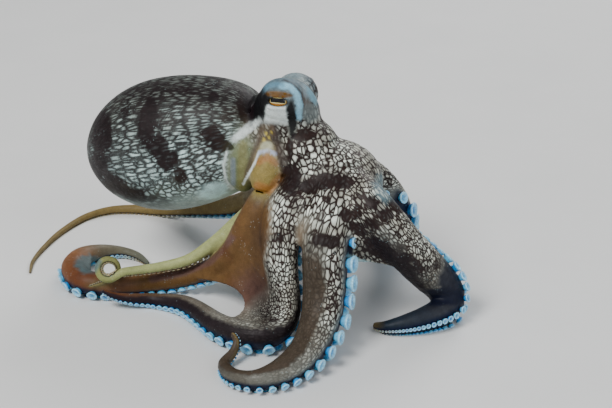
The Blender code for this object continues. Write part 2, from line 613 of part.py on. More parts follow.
def make_body():
    mantle_cutter, crown_cutter = mantle_shape(GAP), ellipsoid(*CROWN, GAP)
    head_cutters = head_pieces(GAP)
    solid("mantle", mantle_shape(), ("mantle_skin", SKIN_PALE))
    first, *others = head_pieces()
    lids = [piece for side in EYEBALLS for piece in lid_pieces(side)]
    sockets = [piece for side in EYEBALLS for piece in eye_socket(side, GAP)]
    solid("head", first, ("head_skin", SKIN_PALE), [*others, *lids], [mantle_cutter, *sockets])
    for side, centre in EYEBALLS.items():
        solid(f"eye_{side}", ellipsoid(centre, (EYE_RADIUS,) * 3, sides=20, rows=12), ("eye", EYE_GOLD))
    solid("crown", ellipsoid(*CROWN), ("crown_skin", SKIN_PALE), (), [mantle_cutter, *head_cutters])
    body_cutters = [mantle_cutter, crown_cutter, *head_cutters]
    solid("funnel", funnel_shape(), ("funnel_skin", FUNNEL_ORANGE), (), [*body_cutters, funnel_bore()])
    solid("collar", ellipsoid(*COLLAR), ("collar_skin", SKIN_OLIVE), (),
          [*body_cutters, funnel_shape(GAP)])
    return [crown_cutter, *head_cutters, funnel_shape(GAP), ellipsoid(*COLLAR, GAP)]


def make_arm(name, arm, body_cutters, other_cutters):
    marks = arm.marks
    first_sucker = arm.length_at(FIRST_SUCKER)
    tan = name in ("right_4", "left_4", "left_3")
    for part, label in enumerate(LENGTH_NAMES[len(marks) - 1]):
        start = marks[part] + (GAP / 2 if part else 0.0)
        last = part == len(marks) - 2
        end = marks[part + 1] - (0.0 if last else GAP / 2)
        finish = ("arm_tan_skin", SKIN_TAN) if tan else ("arm_skin", SKIN_DARK)
        cutters = [floor_block()]
        if part == 0:
            cutters += [*body_cutters, *other_cutters]
        solid(f"arm_{name}_{label}", arm.tube(start, end), finish,
              arm.suckers(start, end, first_sucker), cutters)


def make_webs(arms, body_cutters):
    for first, second, reach_first, reach_second, dip in WEBS:
        cutters = list(body_cutters)
        for name, arm in arms.items():
            near = name in (first, second)
            cutters += arm.outline(arm.lengths[-1] if near else arm.length_at(NEIGHBOUR_REACH))
        shape = web_shape(arms, first, second, reach_first, reach_second, dip)
        name = f"web_{first}_{second}" if first != second else f"web_{first}_bend"
        solid(name, shape, ("web_skin", SKIN_TAN), (), cutters)


def main():
    clear_scene()
    body_cutters = make_body()
    arms = {name: Arm(name) for name in ARMS}
    placed = []
    for name, arm in arms.items():
        make_arm(name, arm, body_cutters, placed)
        placed += arm.outline(arm.length_at(NEIGHBOUR_REACH))
    make_webs(arms, body_cutters)


main()
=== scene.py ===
"""The looks of the coconut octopus: one seamless skin, cupped suckers in two rows on each arm, and eyes.

The shapes are drawn in millimetres, in the frame that the solids were drawn in, and are moved by SHIFT
and turned into metres when a mesh is made.
"""
import math

import bmesh
import bpy
import numpy as np
from mathutils import Matrix


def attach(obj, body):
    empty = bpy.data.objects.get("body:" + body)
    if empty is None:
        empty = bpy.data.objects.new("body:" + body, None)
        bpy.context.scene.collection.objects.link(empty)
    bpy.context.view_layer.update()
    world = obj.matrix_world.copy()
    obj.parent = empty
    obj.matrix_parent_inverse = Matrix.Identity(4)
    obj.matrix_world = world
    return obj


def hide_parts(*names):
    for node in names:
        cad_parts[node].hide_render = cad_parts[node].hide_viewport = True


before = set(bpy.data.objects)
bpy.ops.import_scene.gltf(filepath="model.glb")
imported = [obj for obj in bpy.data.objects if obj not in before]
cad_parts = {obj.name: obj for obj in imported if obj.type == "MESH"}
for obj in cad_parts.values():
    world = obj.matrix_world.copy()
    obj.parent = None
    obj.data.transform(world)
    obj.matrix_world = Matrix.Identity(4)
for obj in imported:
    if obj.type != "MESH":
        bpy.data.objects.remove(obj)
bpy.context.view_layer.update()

MM = 0.001
SHIFT = np.array((32.4, -3.0, 0.0))

# The photograph's camera: the foot of the crown stands at photo pixel (335, 295).
CAMERA_AZIMUTH, CAMERA_ELEVATION = math.radians(20), math.radians(25)
CAMERA_DISTANCE = 500.0
MM_PER_PIXEL = 0.345
PHOTO_WIDTH, PHOTO_HEIGHT = 612, 408
CROWN_PIXEL = (335, 295)

# Form, as in the solids.
MANTLE_NECK = np.array((-26.0, 0.0, 58.2))
MANTLE_END = np.array((-90.6, 0.0, 38.8))
MANTLE_WIDTH = 0.93     # its width as a share of its height
MANTLE_PROFILE = [      # (share of the length, radius)
    (0.00, 11.5), (0.06, 15.6), (0.16, 18.9), (0.30, 21.5), (0.45, 22.9),
    (0.60, 22.7), (0.74, 20.3), (0.86, 15.8), (0.94, 10.3), (0.985, 5.0),
]

# Rounded masses, each a centre and three half lengths.
HEAD_CORE = ((-16.8, -2.0, 64.5), (11.3, 11.0, 13.0))
FOREHEAD = ((-9.3, -3.5, 53.8), (11.2, 11.6, 11.6))
EYE_MOUNDS = {"right": ((-15.6, -8.5, 72.9), (7.7, 7.2, 7.1)),
              "left": ((-16.9, 7.5, 69.2), (7.5, 7.0, 7.0))}
CROWN = ((0.0, -3.0, 44.5), (16.5, 16.5, 13.5))
COLLAR = ((-29.0, -10.5, 50.3), (5.7, 6.0, 10.9))
NECK_SIDE = ((-25.0, -6.0, 58.5), (6.5, 6.0, 8.0))

EYEBALLS = {"right": (-15.4, -10.1, 73.4), "left": (-16.7, 8.6, 69.4)}
EYE_RADIUS = 5.0
GAZES = {"right": (0.10, -0.93, 0.35), "left": (0.10, 0.95, 0.25)}
EYE_SLOT = (3.2, 1.42, 3.4)      # half length, half height and depth of the opening between the lids
# The lids over and under an eye: height and distance out from the eye's centre, and half lengths.
LID_FORMS = [(2.3, 4.6, (4.2, 1.3, 1.2)), (-2.5, 4.6, (3.6, 1.0, 0.8))]

FUNNEL = [              # (x, y, z, radius)
    (-18.5, -6.0, 57.0, 5.6), (-19.3, -11.0, 51.0, 5.4),
    (-19.8, -13.9, 46.0, 5.0), (-20.0, -15.2, 43.2, 3.7),
]
FUNNEL_BORE = (2.2, 6.0)        # radius and depth

# Each arm from the crown to its tip: (x, y, z), radius, and the way its suckers face.
ARMS = {
    "right_1": [
        ((8.0, -9.0, 47.0), 7.0, (0.2, 0.6, -0.8)),
        ((19.4, -17.0, 42.0), 7.0, (0.1, 0.8, -0.6)),
        ((27.2, -13.6, 30.7), 7.1, (0.0, 0.85, -0.5)),
        ((33.9, -5.3, 18.4), 7.0, (0.1, 0.85, 0.0)),
        ((39.4, -0.2, 9.6), 6.3, (0.7, 0.7, 0.1)),
        ((41.1, -4.3, 5.32), 5.3, (0.9, 0.1, -0.3)),
        ((36.9, -11.4, 4.42), 4.4, (0.5, -0.65, -0.5)),
        ((30.9, -16.3, 3.42), 3.4, (0.2, -0.8, -0.6)),
        ((24.6, -19.1, 2.32), 2.3, (0.1, -0.8, -0.6)),
        ((20.0, -17.7, 1.22), 1.2, (0.0, -0.7, -0.7))],
    "right_2": [
        ((3.5, -10.0, 48.0), 7.2, (0.4, 0.6, -0.7)),
        ((5.1, -22.7, 38.3), 7.7, (0.6, 0.6, -0.5)),
        ((6.1, -27.3, 28.6), 7.7, (0.8, 0.6, 0.0)),
        ((6.9, -30.1, 18.8), 7.3, (0.7, 0.7, 0.0)),
        ((7.8, -36.4, 10.9), 6.8, (0.75, 0.6, -0.3)),
        ((7.2, -47.6, 5.82), 5.8, (0.8, 0.1, -0.7)),
        ((3.6, -59.3, 4.52), 4.5, (0.2, -0.5, -0.9)),
        ((-2.8, -65.7, 3.42), 3.4, (0.0, -0.7, -0.8)),
        ((-10.8, -64.9, 2.62), 2.6, (0.0, -0.7, -0.8)),
        ((-16.7, -58.6, 2.02), 2.0, (0.0, -0.3, -0.9)),
        ((-15.6, -54.2, 4.0), 1.5, (0.3, 0.8, -0.4)),
        ((-15.3, -51.6, 6.6), 1.1, (0.3, 0.9, 0.0)),
        ((-17.0, -50.6, 9.0), 0.7, (0.3, 0.9, 0.0))],
    "right_3": [
        ((-5.0, -8.0, 47.0), 6.8, (0.2, 0.7, -0.7)),
        ((-9.6, -20.5, 39.0), 6.7, (0.2, 0.8, -0.5)),
        ((-9.1, -27.8, 29.0), 5.8, (0.1, 0.95, -0.2)),
        ((-6.5, -30.9, 18.7), 4.6, (0.1, 0.95, -0.2)),
        ((-4.7, -34.4, 10.8), 4.6, (0.1, 0.3, -0.9)),
        ((-6.2, -40.4, 6.2), 4.8, (0.1, -0.4, -0.9)),
        ((-13.2, -43.7, 4.82), 4.8, (0.0, -0.6, -0.8)),
        ((-25.2, -40.6, 4.22), 4.2, (0.0, -0.6, -0.8)),
        ((-41.9, -29.9, 3.32), 3.3, (0.0, -0.6, -0.8)),
        ((-54.6, -28.6, 2.52), 2.4, (0.0, -0.5, -0.9)),
        ((-62.2, -32.4, 3.6), 1.8, (0.0, -0.5, -0.9)),
        ((-67.0, -34.8, 5.0), 1.3, (0.0, -0.5, -0.9)),
        ((-70.6, -35.9, 6.8), 0.7, (0.1, -0.4, -0.9))],
    "right_4": [
        ((-8.0, -5.0, 46.0), 6.4, (0.3, 0.6, -0.8)),
        ((-18.0, -12.5, 40.0), 6.0, (0.3, 0.5, -0.8)),
        ((-23.5, -18.0, 31.0), 5.4, (0.2, 0.4, -0.9)),
        ((-31.2, -17.6, 17.8), 4.4, (0.2, 0.2, -0.9)),
        ((-40.4, -14.6, 9.6), 3.9, (0.0, 0.0, -1.0)),
        ((-51.9, -16.0, 5.0), 3.7, (0.0, 0.0, -1.0)),
        ((-61.8, -20.2, 3.82), 3.8, (0.0, -0.1, -1.0)),
        ((-71.2, -26.6, 4.12), 4.1, (0.0, -0.5, -0.9)),
        ((-81.5, -28.4, 4.42), 4.4, (-0.1, -0.6, -0.8)),
        ((-89.4, -21.8, 4.42), 4.4, (-0.5, -0.4, -0.8)),
        ((-91.8, -11.6, 3.82), 3.8, (-0.4, -0.1, -0.9)),
        ((-88.6, -3.7, 2.92), 2.9, (0.1, -0.4, -0.9)),
        ((-82.4, 0.9, 2.02), 2.0, (0.1, -0.6, -0.8)),
        ((-75.6, 0.7, 1.52), 1.5, (0.1, -0.6, -0.8)),
        ((-70.2, -2.0, 0.82), 0.8, (0.1, -0.5, -0.9))],
    "left_4": [
        ((-9.0, 3.0, 46.0), 6.2, (0.4, -0.2, -0.9)),
        ((-19.5, -0.5, 38.0), 5.4, (0.5, 0.0, -0.9)),
        ((-26.0, -7.0, 31.1), 4.1, (0.4, 0.2, -0.9)),
        ((-32.6, -9.0, 25.2), 3.1, (0.2, 0.3, -0.9)),
        ((-39.3, -13.9, 19.3), 2.4, (0.0, 0.4, -0.9)),
        ((-46.7, -17.8, 14.1), 1.95, (0.0, 0.4, -0.9)),
        ((-55.0, -21.4, 11.8), 1.7, (0.0, 0.4, -0.9)),
        ((-61.2, -25.9, 11.6), 1.55, (0.0, 0.4, -0.9)),
        ((-65.3, -29.8, 12.0), 1.45, (-0.3, 0.4, -0.8))],
    "left_3": [
        ((-9.0, 5.0, 47.0), 6.4, (0.4, -0.5, -0.8)),
        ((-18.5, 11.0, 38.0), 5.8, (0.4, -0.3, -0.9)),
        ((-31.0, 19.5, 26.5), 4.9, (0.3, -0.2, -0.9)),
        ((-48.0, 28.0, 14.5), 3.9, (0.1, 0.0, -1.0)),
        ((-68.0, 35.0, 6.6), 2.9, (0.0, 0.0, -1.0)),
        ((-84.0, 37.6, 2.12), 2.1, (0.0, 0.0, -1.0)),
        ((-95.7, 35.4, 1.72), 1.7, (0.0, 0.0, -1.0)),
        ((-103.3, 31.6, 1.52), 1.5, (0.0, 0.0, -1.0)),
        ((-109.0, 23.5, 1.32), 1.3, (0.0, 0.0, -1.0)),
        ((-111.6, 10.3, 1.12), 1.1, (0.0, 0.0, -1.0)),
        ((-111.6, -2.6, 0.92), 0.9, (0.0, 0.0, -1.0)),
        ((-110.0, -14.2, 0.72), 0.7, (0.0, 0.0, -1.0)),
        ((-106.7, -22.3, 0.47), 0.45, (0.0, 0.0, -1.0))],
    "left_2": [
        ((-3.0, 6.0, 47.0), 6.6, (0.2, -0.6, -0.8)),
        ((-6.0, 18.0, 39.0), 6.3, (0.2, -0.6, -0.8)),
        ((-12.0, 29.0, 28.5), 5.7, (0.2, -0.6, -0.8)),
        ((-19.0, 38.0, 17.0), 5.0, (0.2, -0.6, -0.8)),
        ((-23.0, 45.5, 9.2), 4.4, (0.1, -0.3, -0.9)),
        ((-24.0, 53.5, 5.9), 3.8, (0.0, 0.0, -1.0)),
        ((-21.0, 62.0, 3.22), 3.2, (0.0, 0.0, -1.0)),
        ((-25.5, 70.0, 2.72), 2.7, (0.0, 0.0, -1.0)),
        ((-36.0, 74.0, 2.22), 2.2, (0.0, 0.0, -1.0)),
        ((-45.0, 70.0, 1.72), 1.7, (0.0, 0.0, -1.0)),
        ((-46.0, 62.0, 1.32), 1.3, (0.0, 0.0, -1.0)),
        ((-39.5, 58.5, 0.82), 0.8, (0.0, 0.0, -1.0))],
    "left_1": [
        ((3.0, 2.0, 48.0), 6.8, (0.5, -0.2, -0.8)),
        ((10.0, 10.0, 39.7), 6.8, (0.5, 0.0, -0.85)),
        ((15.0, 15.4, 30.0), 6.4, (0.9, -0.3, -0.5)),
        ((15.5, 22.5, 19.5), 5.7, (0.9, -0.5, -0.3)),
        ((12.5, 31.0, 11.0), 5.0, (0.3, -0.6, -0.8)),
        ((7.0, 40.5, 6.8), 4.3, (0.0, -0.1, -1.0)),
        ((3.0, 50.0, 3.72), 3.7, (0.0, 0.0, -1.0)),
        ((5.0, 59.0, 3.12), 3.1, (0.0, 0.0, -1.0)),
        ((1.0, 67.0, 2.62), 2.6, (0.0, 0.0, -1.0)),
        ((-6.5, 68.6, 2.02), 2.0, (0.0, 0.0, -1.0)),
        ((-9.8, 62.6, 1.52), 1.5, (0.0, 0.0, -1.0)),
        ((-4.0, 59.0, 0.92), 0.9, (0.0, 0.0, -1.0))],
}
COIL_ARM = "left_4"
COIL_CENTRE = (-70.5, -31.1, 12.7)
COIL_OUT = (0.94, 0.34, 0.0)        # level direction in the coil's plane, towards the arm
COIL_UP = (-0.145, 0.397, 0.906)
COIL_TURNS = [
    (-40, 3.45, 1.48, 0.0), (-85, 3.35, 1.46, 0.0), (-130, 3.3, 1.42, 0.0), (-175, 3.3, 1.36, 0.0),
    (-220, 3.3, 1.28, 0.1), (-265, 3.3, 1.18, 0.5), (-310, 3.3, 1.05, 1.3), (-350, 3.2, 0.92, 2.3),
    (-390, 3.2, 0.84, 2.8), (-430, 3.4, 0.76, 2.8), (-460, 4.2, 0.68, 2.8), (-482, 5.7, 0.60, 2.7),
    (-492, 7.4, 0.52, 2.5), (-499, 9.2, 0.42, 2.3),
]
# Each web: its two arms, how far along each it reaches in control points, and how deep its free edge dips.
WEBS = [
    ("right_1", "right_2", (0.6, 3.1), (0.6, 2.5), 0.24),
    ("right_2", "right_3", (0.6, 2.3), (0.6, 2.2), 0.30),
    ("right_3", "right_4", (0.6, 8.1), (0.7, 5.3), 0.37),
    ("right_4", "right_4", (8.7, 7.7), (9.3, 10.8), 0.12),
    ("right_4", "left_4", (0.8, 4.3), (0.8, 4.4), 0.10),
    ("left_4", "left_3", (0.8, 2.6), (0.7, 2.4), 0.40),
    ("left_3", "left_2", (0.6, 2.5), (0.7, 2.7), 0.34),
    ("left_2", "left_1", (0.7, 2.7), (0.6, 2.9), 0.34),
    ("left_1", "right_1", (0.6, 2.2), (0.6, 2.2), 0.30),
]
WEB_THICKNESS = (1.7, 1.0)          # at the crown and at the free edge
WEB_LIFT = (0.70, 0.25)             # towards the arm's back, as a share of its radius
SUCKER_SPREAD = math.radians(31)
FIRST_SUCKER = 1.15                 # in control points from the crown
SUCKER_SIZE = 0.43                  # rim radius as a share of the arm's radius
LEAST_SUCKER = 0.22
SUCKER_PITCH = 0.95                 # spacing along a row as a share of the arm's radius
LEAST_PITCH = 0.75

# Fineness of the skin.
VOXEL = 0.45
SKIN_TRIANGLES = 190000
FILL_PASSES = 55                    # rounds that soften the creases between the forms
TUBE_SIDES = 20
WEB_ROWS = 28
POINTS_AT_ONCE = 20000              # points whose nearest place on an arm is found in one go

# The arms as they stand round the crown: neighbours always fall in different sets.
EVEN_ARMS = ("right_1", "right_3", "left_4", "left_2")
ODD_ARMS = ("right_2", "right_4", "left_3", "left_1")


def srgb(r, g, b):
    """A screen colour of 0 to 255 as linear values."""
    c = np.array((r, g, b), float) / 255
    return np.where(c <= 0.04045, c / 12.92, ((c + 0.055) / 1.055) ** 2.4)


MAROON = srgb(22, 11, 14)
# A near-black tone: the darkest cells of the blotches, and over the broad dim areas partly painted shade.
DARK_CELLS_AND_SHADE = srgb(24, 12, 17)
UMBER = srgb(34, 20, 17)
CREAM = srgb(228, 234, 222)
DUN = srgb(130, 122, 106)
ICE = srgb(208, 240, 240)
# The mantle's grey-tan top, made darker as painted shade of the top.
STONE_AND_SHADE = srgb(104, 118, 114)
BLUE_GREY = srgb(60, 98, 118)
PATCH_WHITE = srgb(222, 232, 230)
LID_GOLD = srgb(104, 68, 0)
LID_BLACK = srgb(8, 8, 11)
OLIVE = srgb(82, 96, 40)
OLIVE_GOLD = srgb(112, 108, 30)
SLATE = srgb(86, 106, 120)
FUNNEL_TAN = srgb(136, 115, 28)
FUNNEL_AMBER = srgb(152, 98, 0)
WEB_BROWN = srgb(104, 76, 44)
MAUVE = srgb(96, 70, 66)
RUST = srgb(92, 52, 30)
PLUM = srgb(22, 11, 18)
NAVY = srgb(6, 18, 44)
PALE_GREEN = srgb(162, 168, 112)
TAN = srgb(122, 104, 62)
BELLY = srgb(172, 196, 194)
FLECK_GOLD = srgb(206, 184, 70)
RIM_ICE = srgb(160, 220, 250)
RIM_TAN = srgb(168, 158, 120)


# Sizes of the skin's cells: along and across the mantle's back, its flank, the crown and a thick arm.
MANTLE_CELL = (4.2, 1.4)
FLANK_CELL = (2.1, 1.8)
CROWN_CELL = (2.25, 1.6)
CELL_LONG, CELL_WIDE = 2.2, 1.3
CELL_SCALES = {"right_1": 0.78, "left_1": 0.8}      # finer cells on some arms
THICK_ARM = 7.0                     # the radius at which an arm's cells have their full size
FULL_GIRTH = 20.0                   # the mantle's radius at which its cells have their full size
CROWN_FLOW = (0.42, -0.12, -0.9)    # the way the crown's cells run

# How much flatter an arm is on its sucker side, as a share of its radius.
FLATTER = 0.10
# How far the opening between an eye's lids sits above the eye's centre: below it here.
SLOT_LIFT = -0.5
# The free lower edge of the collar, which stays sharp.
COLLAR_LIP = (-31.0, -12.0, 42.0)

# How each arm looks along its length: (control point, strength of the net, plain colour).
ARM_LOOKS = {
    # On right_1 the navy-black from control point 3.7 on is partly the arm's own dark colour, partly painted
    # shade of its lower bend.
    "right_1": [(0, 1, UMBER), (2.5, 1, PLUM), (3.1, 0.6, PLUM), (3.7, 0.2, srgb(6, 14, 34)),
        (5.4, 0.05, srgb(4, 14, 36)), (8, 0.0, srgb(22, 34, 46)), (9, 0.0, TAN)],
    "right_2": [(0, 1, UMBER), (4.0, 1, UMBER), (5.2, 0.7, srgb(58, 50, 44)), (6.5, 0.3, srgb(54, 49, 44)),
        (9, 0.0, srgb(64, 58, 50)), (12, 0, TAN)],
    "right_3": [(0, 1, UMBER), (4.4, 1, UMBER), (6.0, 0.7, srgb(60, 48, 44)),
        (7.6, 0.25, srgb(70, 54, 44)), (9, 0.0, srgb(84, 66, 50)), (11, 0.0, RUST)],
    "right_4": [(0, 0.7, WEB_BROWN), (1.2, 0.0, WEB_BROWN), (3, 0.0, RUST), (6, 0.0, srgb(112, 80, 60)),
        (8, 0.0, RUST), (9.5, 0.0, srgb(128, 84, 50)), (11, 0.0, srgb(104, 96, 78)),
        (14, 0.0, srgb(92, 96, 84))],
    "left_4": [(0, 0.6, PALE_GREEN), (1.0, 0.0, PALE_GREEN), (7, 0.0, PALE_GREEN),
        (10, 0.0, srgb(132, 136, 84)), (24, 0.0, srgb(120, 112, 70))],
    "left_3": [(0, 0.9, UMBER), (1.6, 0.5, srgb(90, 84, 66)), (2.6, 0.0, TAN), (8, 0.0, TAN),
        (12, 0.0, srgb(110, 96, 64))],
    "left_2": [(0, 1, UMBER), (3.6, 1, UMBER), (5.2, 0.4, srgb(70, 60, 52)), (7, 0.0, srgb(80, 68, 56)),
        (11, 0, TAN)],
    "left_1": [(0, 1, UMBER), (3.6, 1, UMBER), (5.2, 0.4, srgb(70, 60, 52)), (7, 0.0, srgb(80, 68, 56)),
        (11, 0, TAN)],
}
# Plain flanks: arm, the way the flank faces (towards the suckers, sideways), from which control point,
# where it starts and is full between the middle and the edge, and its colour.
FLANKS = [
    # The plum flank of right_1 is partly its own dark colour, partly painted shade of its shaded side.
    ("right_1", (-0.45, -0.9), 1.3, (0.20, 0.65), PLUM),
    ("right_2", (-1.0, 0.1), 1.5, (0.34, 0.58), srgb(62, 52, 42)),
    ("right_3", (0.55, 0.85), 3.2, (0.20, 0.65), PLUM),
]
# On some arms: the suckers' size over their usual one, near the crown and at the tip.
SUCKER_SCALES = {"right_1": (0.70, 0.46), "right_2": (0.88, 0.70), "left_1": (1.0, 0.9)}
# On some arms they stand closer together than usual.
SUCKER_PITCHES = {"right_1": 0.76}
# On some arms they stand out more and turn towards the animal's right: from which share of the arm's
# length, how far their feet are from the arm's middle in radii, the turn, and where the turn ends.
SUCKER_STANDS = {"right_1": (0.50, 0.97, math.radians(12), 0.66),
                 "right_2": (0.0, 1.0, math.radians(9), 0.7)}
# The feet's usual distance, and the distance before they stand out.
USUAL_FOOT, SUNK_FOOT = 0.86, 0.84
# The colours of the suckers' sides: two blues that alternate, and tan.
SUCKER_BLUES = (srgb(40, 148, 222), srgb(112, 204, 244))
SUCKER_BROWN = srgb(120, 104, 78)
# A sucker of unit rim radius in section: (radius, height) from its foot up to its rim and into its hollow.
CUP_SECTION = [
    (0.55, -0.70), (0.58, -0.20), (0.66, 0.15), (0.84, 0.45), (0.98, 0.66), (1.0, 0.78), (0.93, 0.88),
    (0.80, 0.86), (0.62, 0.70), (0.46, 0.58), (0.30, 0.50), (0.16, 0.40),
]
CUP_SIDES = 16
# Where along each arm the suckers turn from blue to tan.
SUCKER_TAN = {"right_1": (0.85, 1.0), "right_2": (0.9, 1.1), "right_3": (0.9, 1.1), "right_4": (0.85, 1.0),
              "left_4": (-0.2, -0.1), "left_3": (0.3, 0.6), "left_2": (0.8, 1.0), "left_1": (0.8, 1.0)}

# Drawn on the photo: (u, v, half lengths, tilt, strength) of the dark blotches.
BLOTCHES = [
    (148, 122, 9, 25, 8, 1.0), (158, 145, 10, 10, 30, 1.0), (167, 158, 10, 12, -25, 1.0),
    (180, 176, 6, 9, -15, 0.9), (190, 92, 9, 4, 0, 0.6), (213, 97, 7, 5, 0, 0.8),
    (213, 135, 12, 9, 35, 1.0), (222, 146, 12, 6, 0, 1.0), (246, 108, 8, 20, -8, 1.0),
    (102, 134, 10, 24, 0, 0.95), (98, 166, 10, 15, 0, 0.9), (114, 184, 13, 9, 20, 1.0),
    (134, 196, 14, 7, 15, 0.8), (125, 112, 5, 8, 0, 0.5), (160, 200, 16, 4, 5, 0.6),
    (188, 200, 12, 4, -5, 0.5), (303, 136, 13, 5, -8, 1.0), (290, 149, 4, 12, 0, 0.7),
    (290, 180, 11, 15, 0, 1.0), (309, 187, 11, 7, 0, 1.0), (325, 181, 12, 8, 0, 1.0),
    (342, 182, 12, 7, 8, 1.0), (326, 241, 14, 6, 6, 1.0), (278, 238, 6, 6, 0, 0.7),
    (357, 212, 5, 8, 0, 0.7), (362, 196, 6, 5, 0, 0.5), (372, 224, 8, 6, 35, 0.7),
    (398, 204, 10, 8, 30, 0.9), (382, 250, 20, 9, 35, 1.0), (412, 263, 16, 7, 40, 0.8),
    (440, 262, 6, 10, 30, 0.6), (270, 318, 9, 5, 0, 0.5), (347, 215, 8, 6, 0, 0.8),
    (358, 229, 10, 6, 30, 0.9), (372, 203, 9, 6, 0, 0.8), (385, 215, 8, 7, 0, 0.8),
]
# Where the cells are brightest: (u, v, half lengths, tilt, strength).
PALE_CLUSTERS = [
    (308, 160, 18, 13, 0, 1.0), (340, 155, 12, 14, -20, 0.8), (322, 213, 22, 13, 0, 1.0),
    (277, 212, 12, 15, 0, 0.9), (352, 166, 9, 9, 0, 0.6), (375, 192, 10, 9, 20, 0.8),
    (388, 236, 12, 8, 20, 0.9), (327, 258, 14, 10, 0, 0.8), (281, 268, 9, 18, 0, 0.8),
    (425, 245, 10, 9, 30, 0.6), (277, 318, 8, 7, 0, 0.7), (328, 322, 8, 9, 0, 0.7),
]
# Broad dimmer areas, partly painted shade (the mantle's top, underside and hind end, the shaded arms) and
# partly darker skin: (u, v, half lengths, tilt, strength).
DIM_AND_SHADED_AREAS = [
    (150, 90, 70, 13, 0, 0.5), (226, 96, 22, 12, 20, 0.35), (104, 160, 14, 44, -8, 0.5),
    (134, 194, 34, 11, 18, 0.6), (150, 128, 12, 26, -10, 0.35), (208, 138, 20, 12, 10, 0.35),
    (172, 206, 50, 5, 0, 0.3), (378, 206, 12, 12, 0, 0.4), (378, 240, 30, 12, 38, 0.45),
    (422, 282, 34, 14, 45, 0.5), (268, 306, 13, 32, 5, 0.55), (258, 290, 10, 26, 0, 0.4),
    (266, 241, 9, 8, 0, 0.3), (320, 182, 40, 9, 0, 0.3), (290, 180, 13, 18, 0, 0.4),
    (322, 243, 22, 8, 0, 0.25), (257, 236, 8, 28, 0, 0.4), (261, 196, 11, 9, 0, 0.4),
    (366, 252, 20, 9, 15, 0.5), (386, 180, 12, 10, 30, 0.3),
]
# Lines drawn on the photo: (course, width, colour, strength, how plain).
STREAKS = [
    ([(227, 150), (223.5, 165), (226, 181), (233, 189)], 1.1, PATCH_WHITE, 0.85, 1.0),
    # A brown line along the collar's right rim: painted shade in the crease there.
    ([(262, 126), (258, 142), (251, 160), (246, 176)], 2.6, srgb(70, 50, 40), 0.7, 0.6),
    ([(260, 150), (256, 160), (251, 170), (247, 177), (243, 184)], 1.1, PATCH_WHITE, 0.95, 1.0),
    ([(259, 153), (268, 150), (276, 154)], 1.9, srgb(176, 186, 208), 0.9, 1.0),
    ([(272, 124), (276, 140), (281, 156), (285, 170)], 4.2, srgb(52, 34, 34), 0.8, 0.35),
    ([(282, 86), (290, 86), (297, 94), (300, 106), (299, 117)], 3.2, srgb(148, 204, 228), 0.95, 0.9),
    ([(262, 92), (268, 86), (276, 84), (283, 86)], 2.4, srgb(96, 140, 162), 0.7, 0.9),
    ([(348, 256), (358, 261), (372, 264)], 1.8, srgb(140, 186, 198), 0.7, 0.9),
    # A dark line in the crease between the near eye mound and the far one: painted shade.
    ([(284, 80), (293, 84), (301.5, 93), (304.5, 105), (303, 116)], 1.2, srgb(44, 34, 34), 0.7, 0.5),
]
# Patches drawn on the photo: (u, v, half lengths, tilt, colour, strength, how plain).
PATCHES = [
    (256, 106, 10, 20, -8, LID_BLACK, 1.0, 0.9),
    (246, 130, 19, 4.6, -37, PATCH_WHITE, 0.75, 0.25), (240, 134, 10, 3, -37, PATCH_WHITE, 0.6, 0.5),
    (267, 132, 8, 9, 0, srgb(96, 78, 56), 0.5, 0.2),
    (266, 134, 1.3, 2.6, 0, FLECK_GOLD, 0.9, 0.8), (269.5, 138, 1.2, 2.2, 0, FLECK_GOLD, 0.9, 0.8),
    (264, 140, 1.1, 2.2, 0, FLECK_GOLD, 0.8, 0.8), (271, 132, 1.0, 2.0, 0, FLECK_GOLD, 0.7, 0.8),
    (267, 146, 6, 4.5, 0, srgb(184, 186, 160), 0.75, 0.8),
    # A brown patch in that crease between the mounds: painted shade.
    (307, 101, 4, 14, -15, srgb(88, 80, 74), 0.7, 0.7),
    (311, 89, 8, 12, -15, srgb(140, 172, 186), 0.5, 0.75),
    (313.0, 92, 5, 13, -18, srgb(112, 158, 176), 0.85, 0.95),
    (310, 113, 9, 9, 0, srgb(120, 132, 132), 0.5, 0.4),
    (214, 191, 15, 7.5, -18, srgb(196, 232, 234), 0.8, 0.6),
    (389, 186, 15, 15, 35, srgb(104, 140, 152), 0.45, 0.2),
    # Navy-black over right_1's elbow: partly the arm's dark colour, partly painted shade.
    (456, 278, 17, 27, 12, srgb(8, 14, 34), 0.95, 0.95),
    (440, 297, 26, 9, 0, srgb(8, 14, 34), 0.9, 0.9),
    (88, 264, 13, 9, 0, srgb(74, 100, 104), 0.85, 1.0),
]
# Marks that only one part of the skin takes: spots (u, v, half lengths, tilt, edge) and streaks
# (course, width).
MAUVE_SPOT = (252, 298, 20, 26, 0, 0.6)
MAUVE_STREAK = ([(152, 279), (182, 273), (210, 262), (232, 238)], 3.5)
BROWN_WEB = (250, 245, 17, 62, 12, 0.2)
BARE_BROW = (288, 88, 22, 12, 15, 0.35)
COLLAR_GOLD = ([(243, 145), (242, 186)], 4.5)
COLLAR_SLATE = ([(233, 160), (233, 184)], 2.6)
FUNNEL_RIMS = [([(258, 186), (270, 190), (281, 177)], 4.5), ([(258, 162), (267, 157), (276, 163)], 3.5)]
# Soft unevenness is a sum of waves, each this high over their number.
WAVES, WAVE_HEIGHT = 7, 1.6
# Marks drawn on the photo stay on the side that it shows: y below this.
NEAR_SIDE = 2
# How far the second set of arms is moved in its net, so that its cells don't repeat the first set's.
ODD_OFFSET = 40.0

# The eye: half the pupil's flat length and height, how far the pupil hangs, and where the iris turns dark.
PUPIL_HALF = (2.25, 0.55)
PUPIL_DROP = 0.15
IRIS_EDGE = (2.7, 3.4)

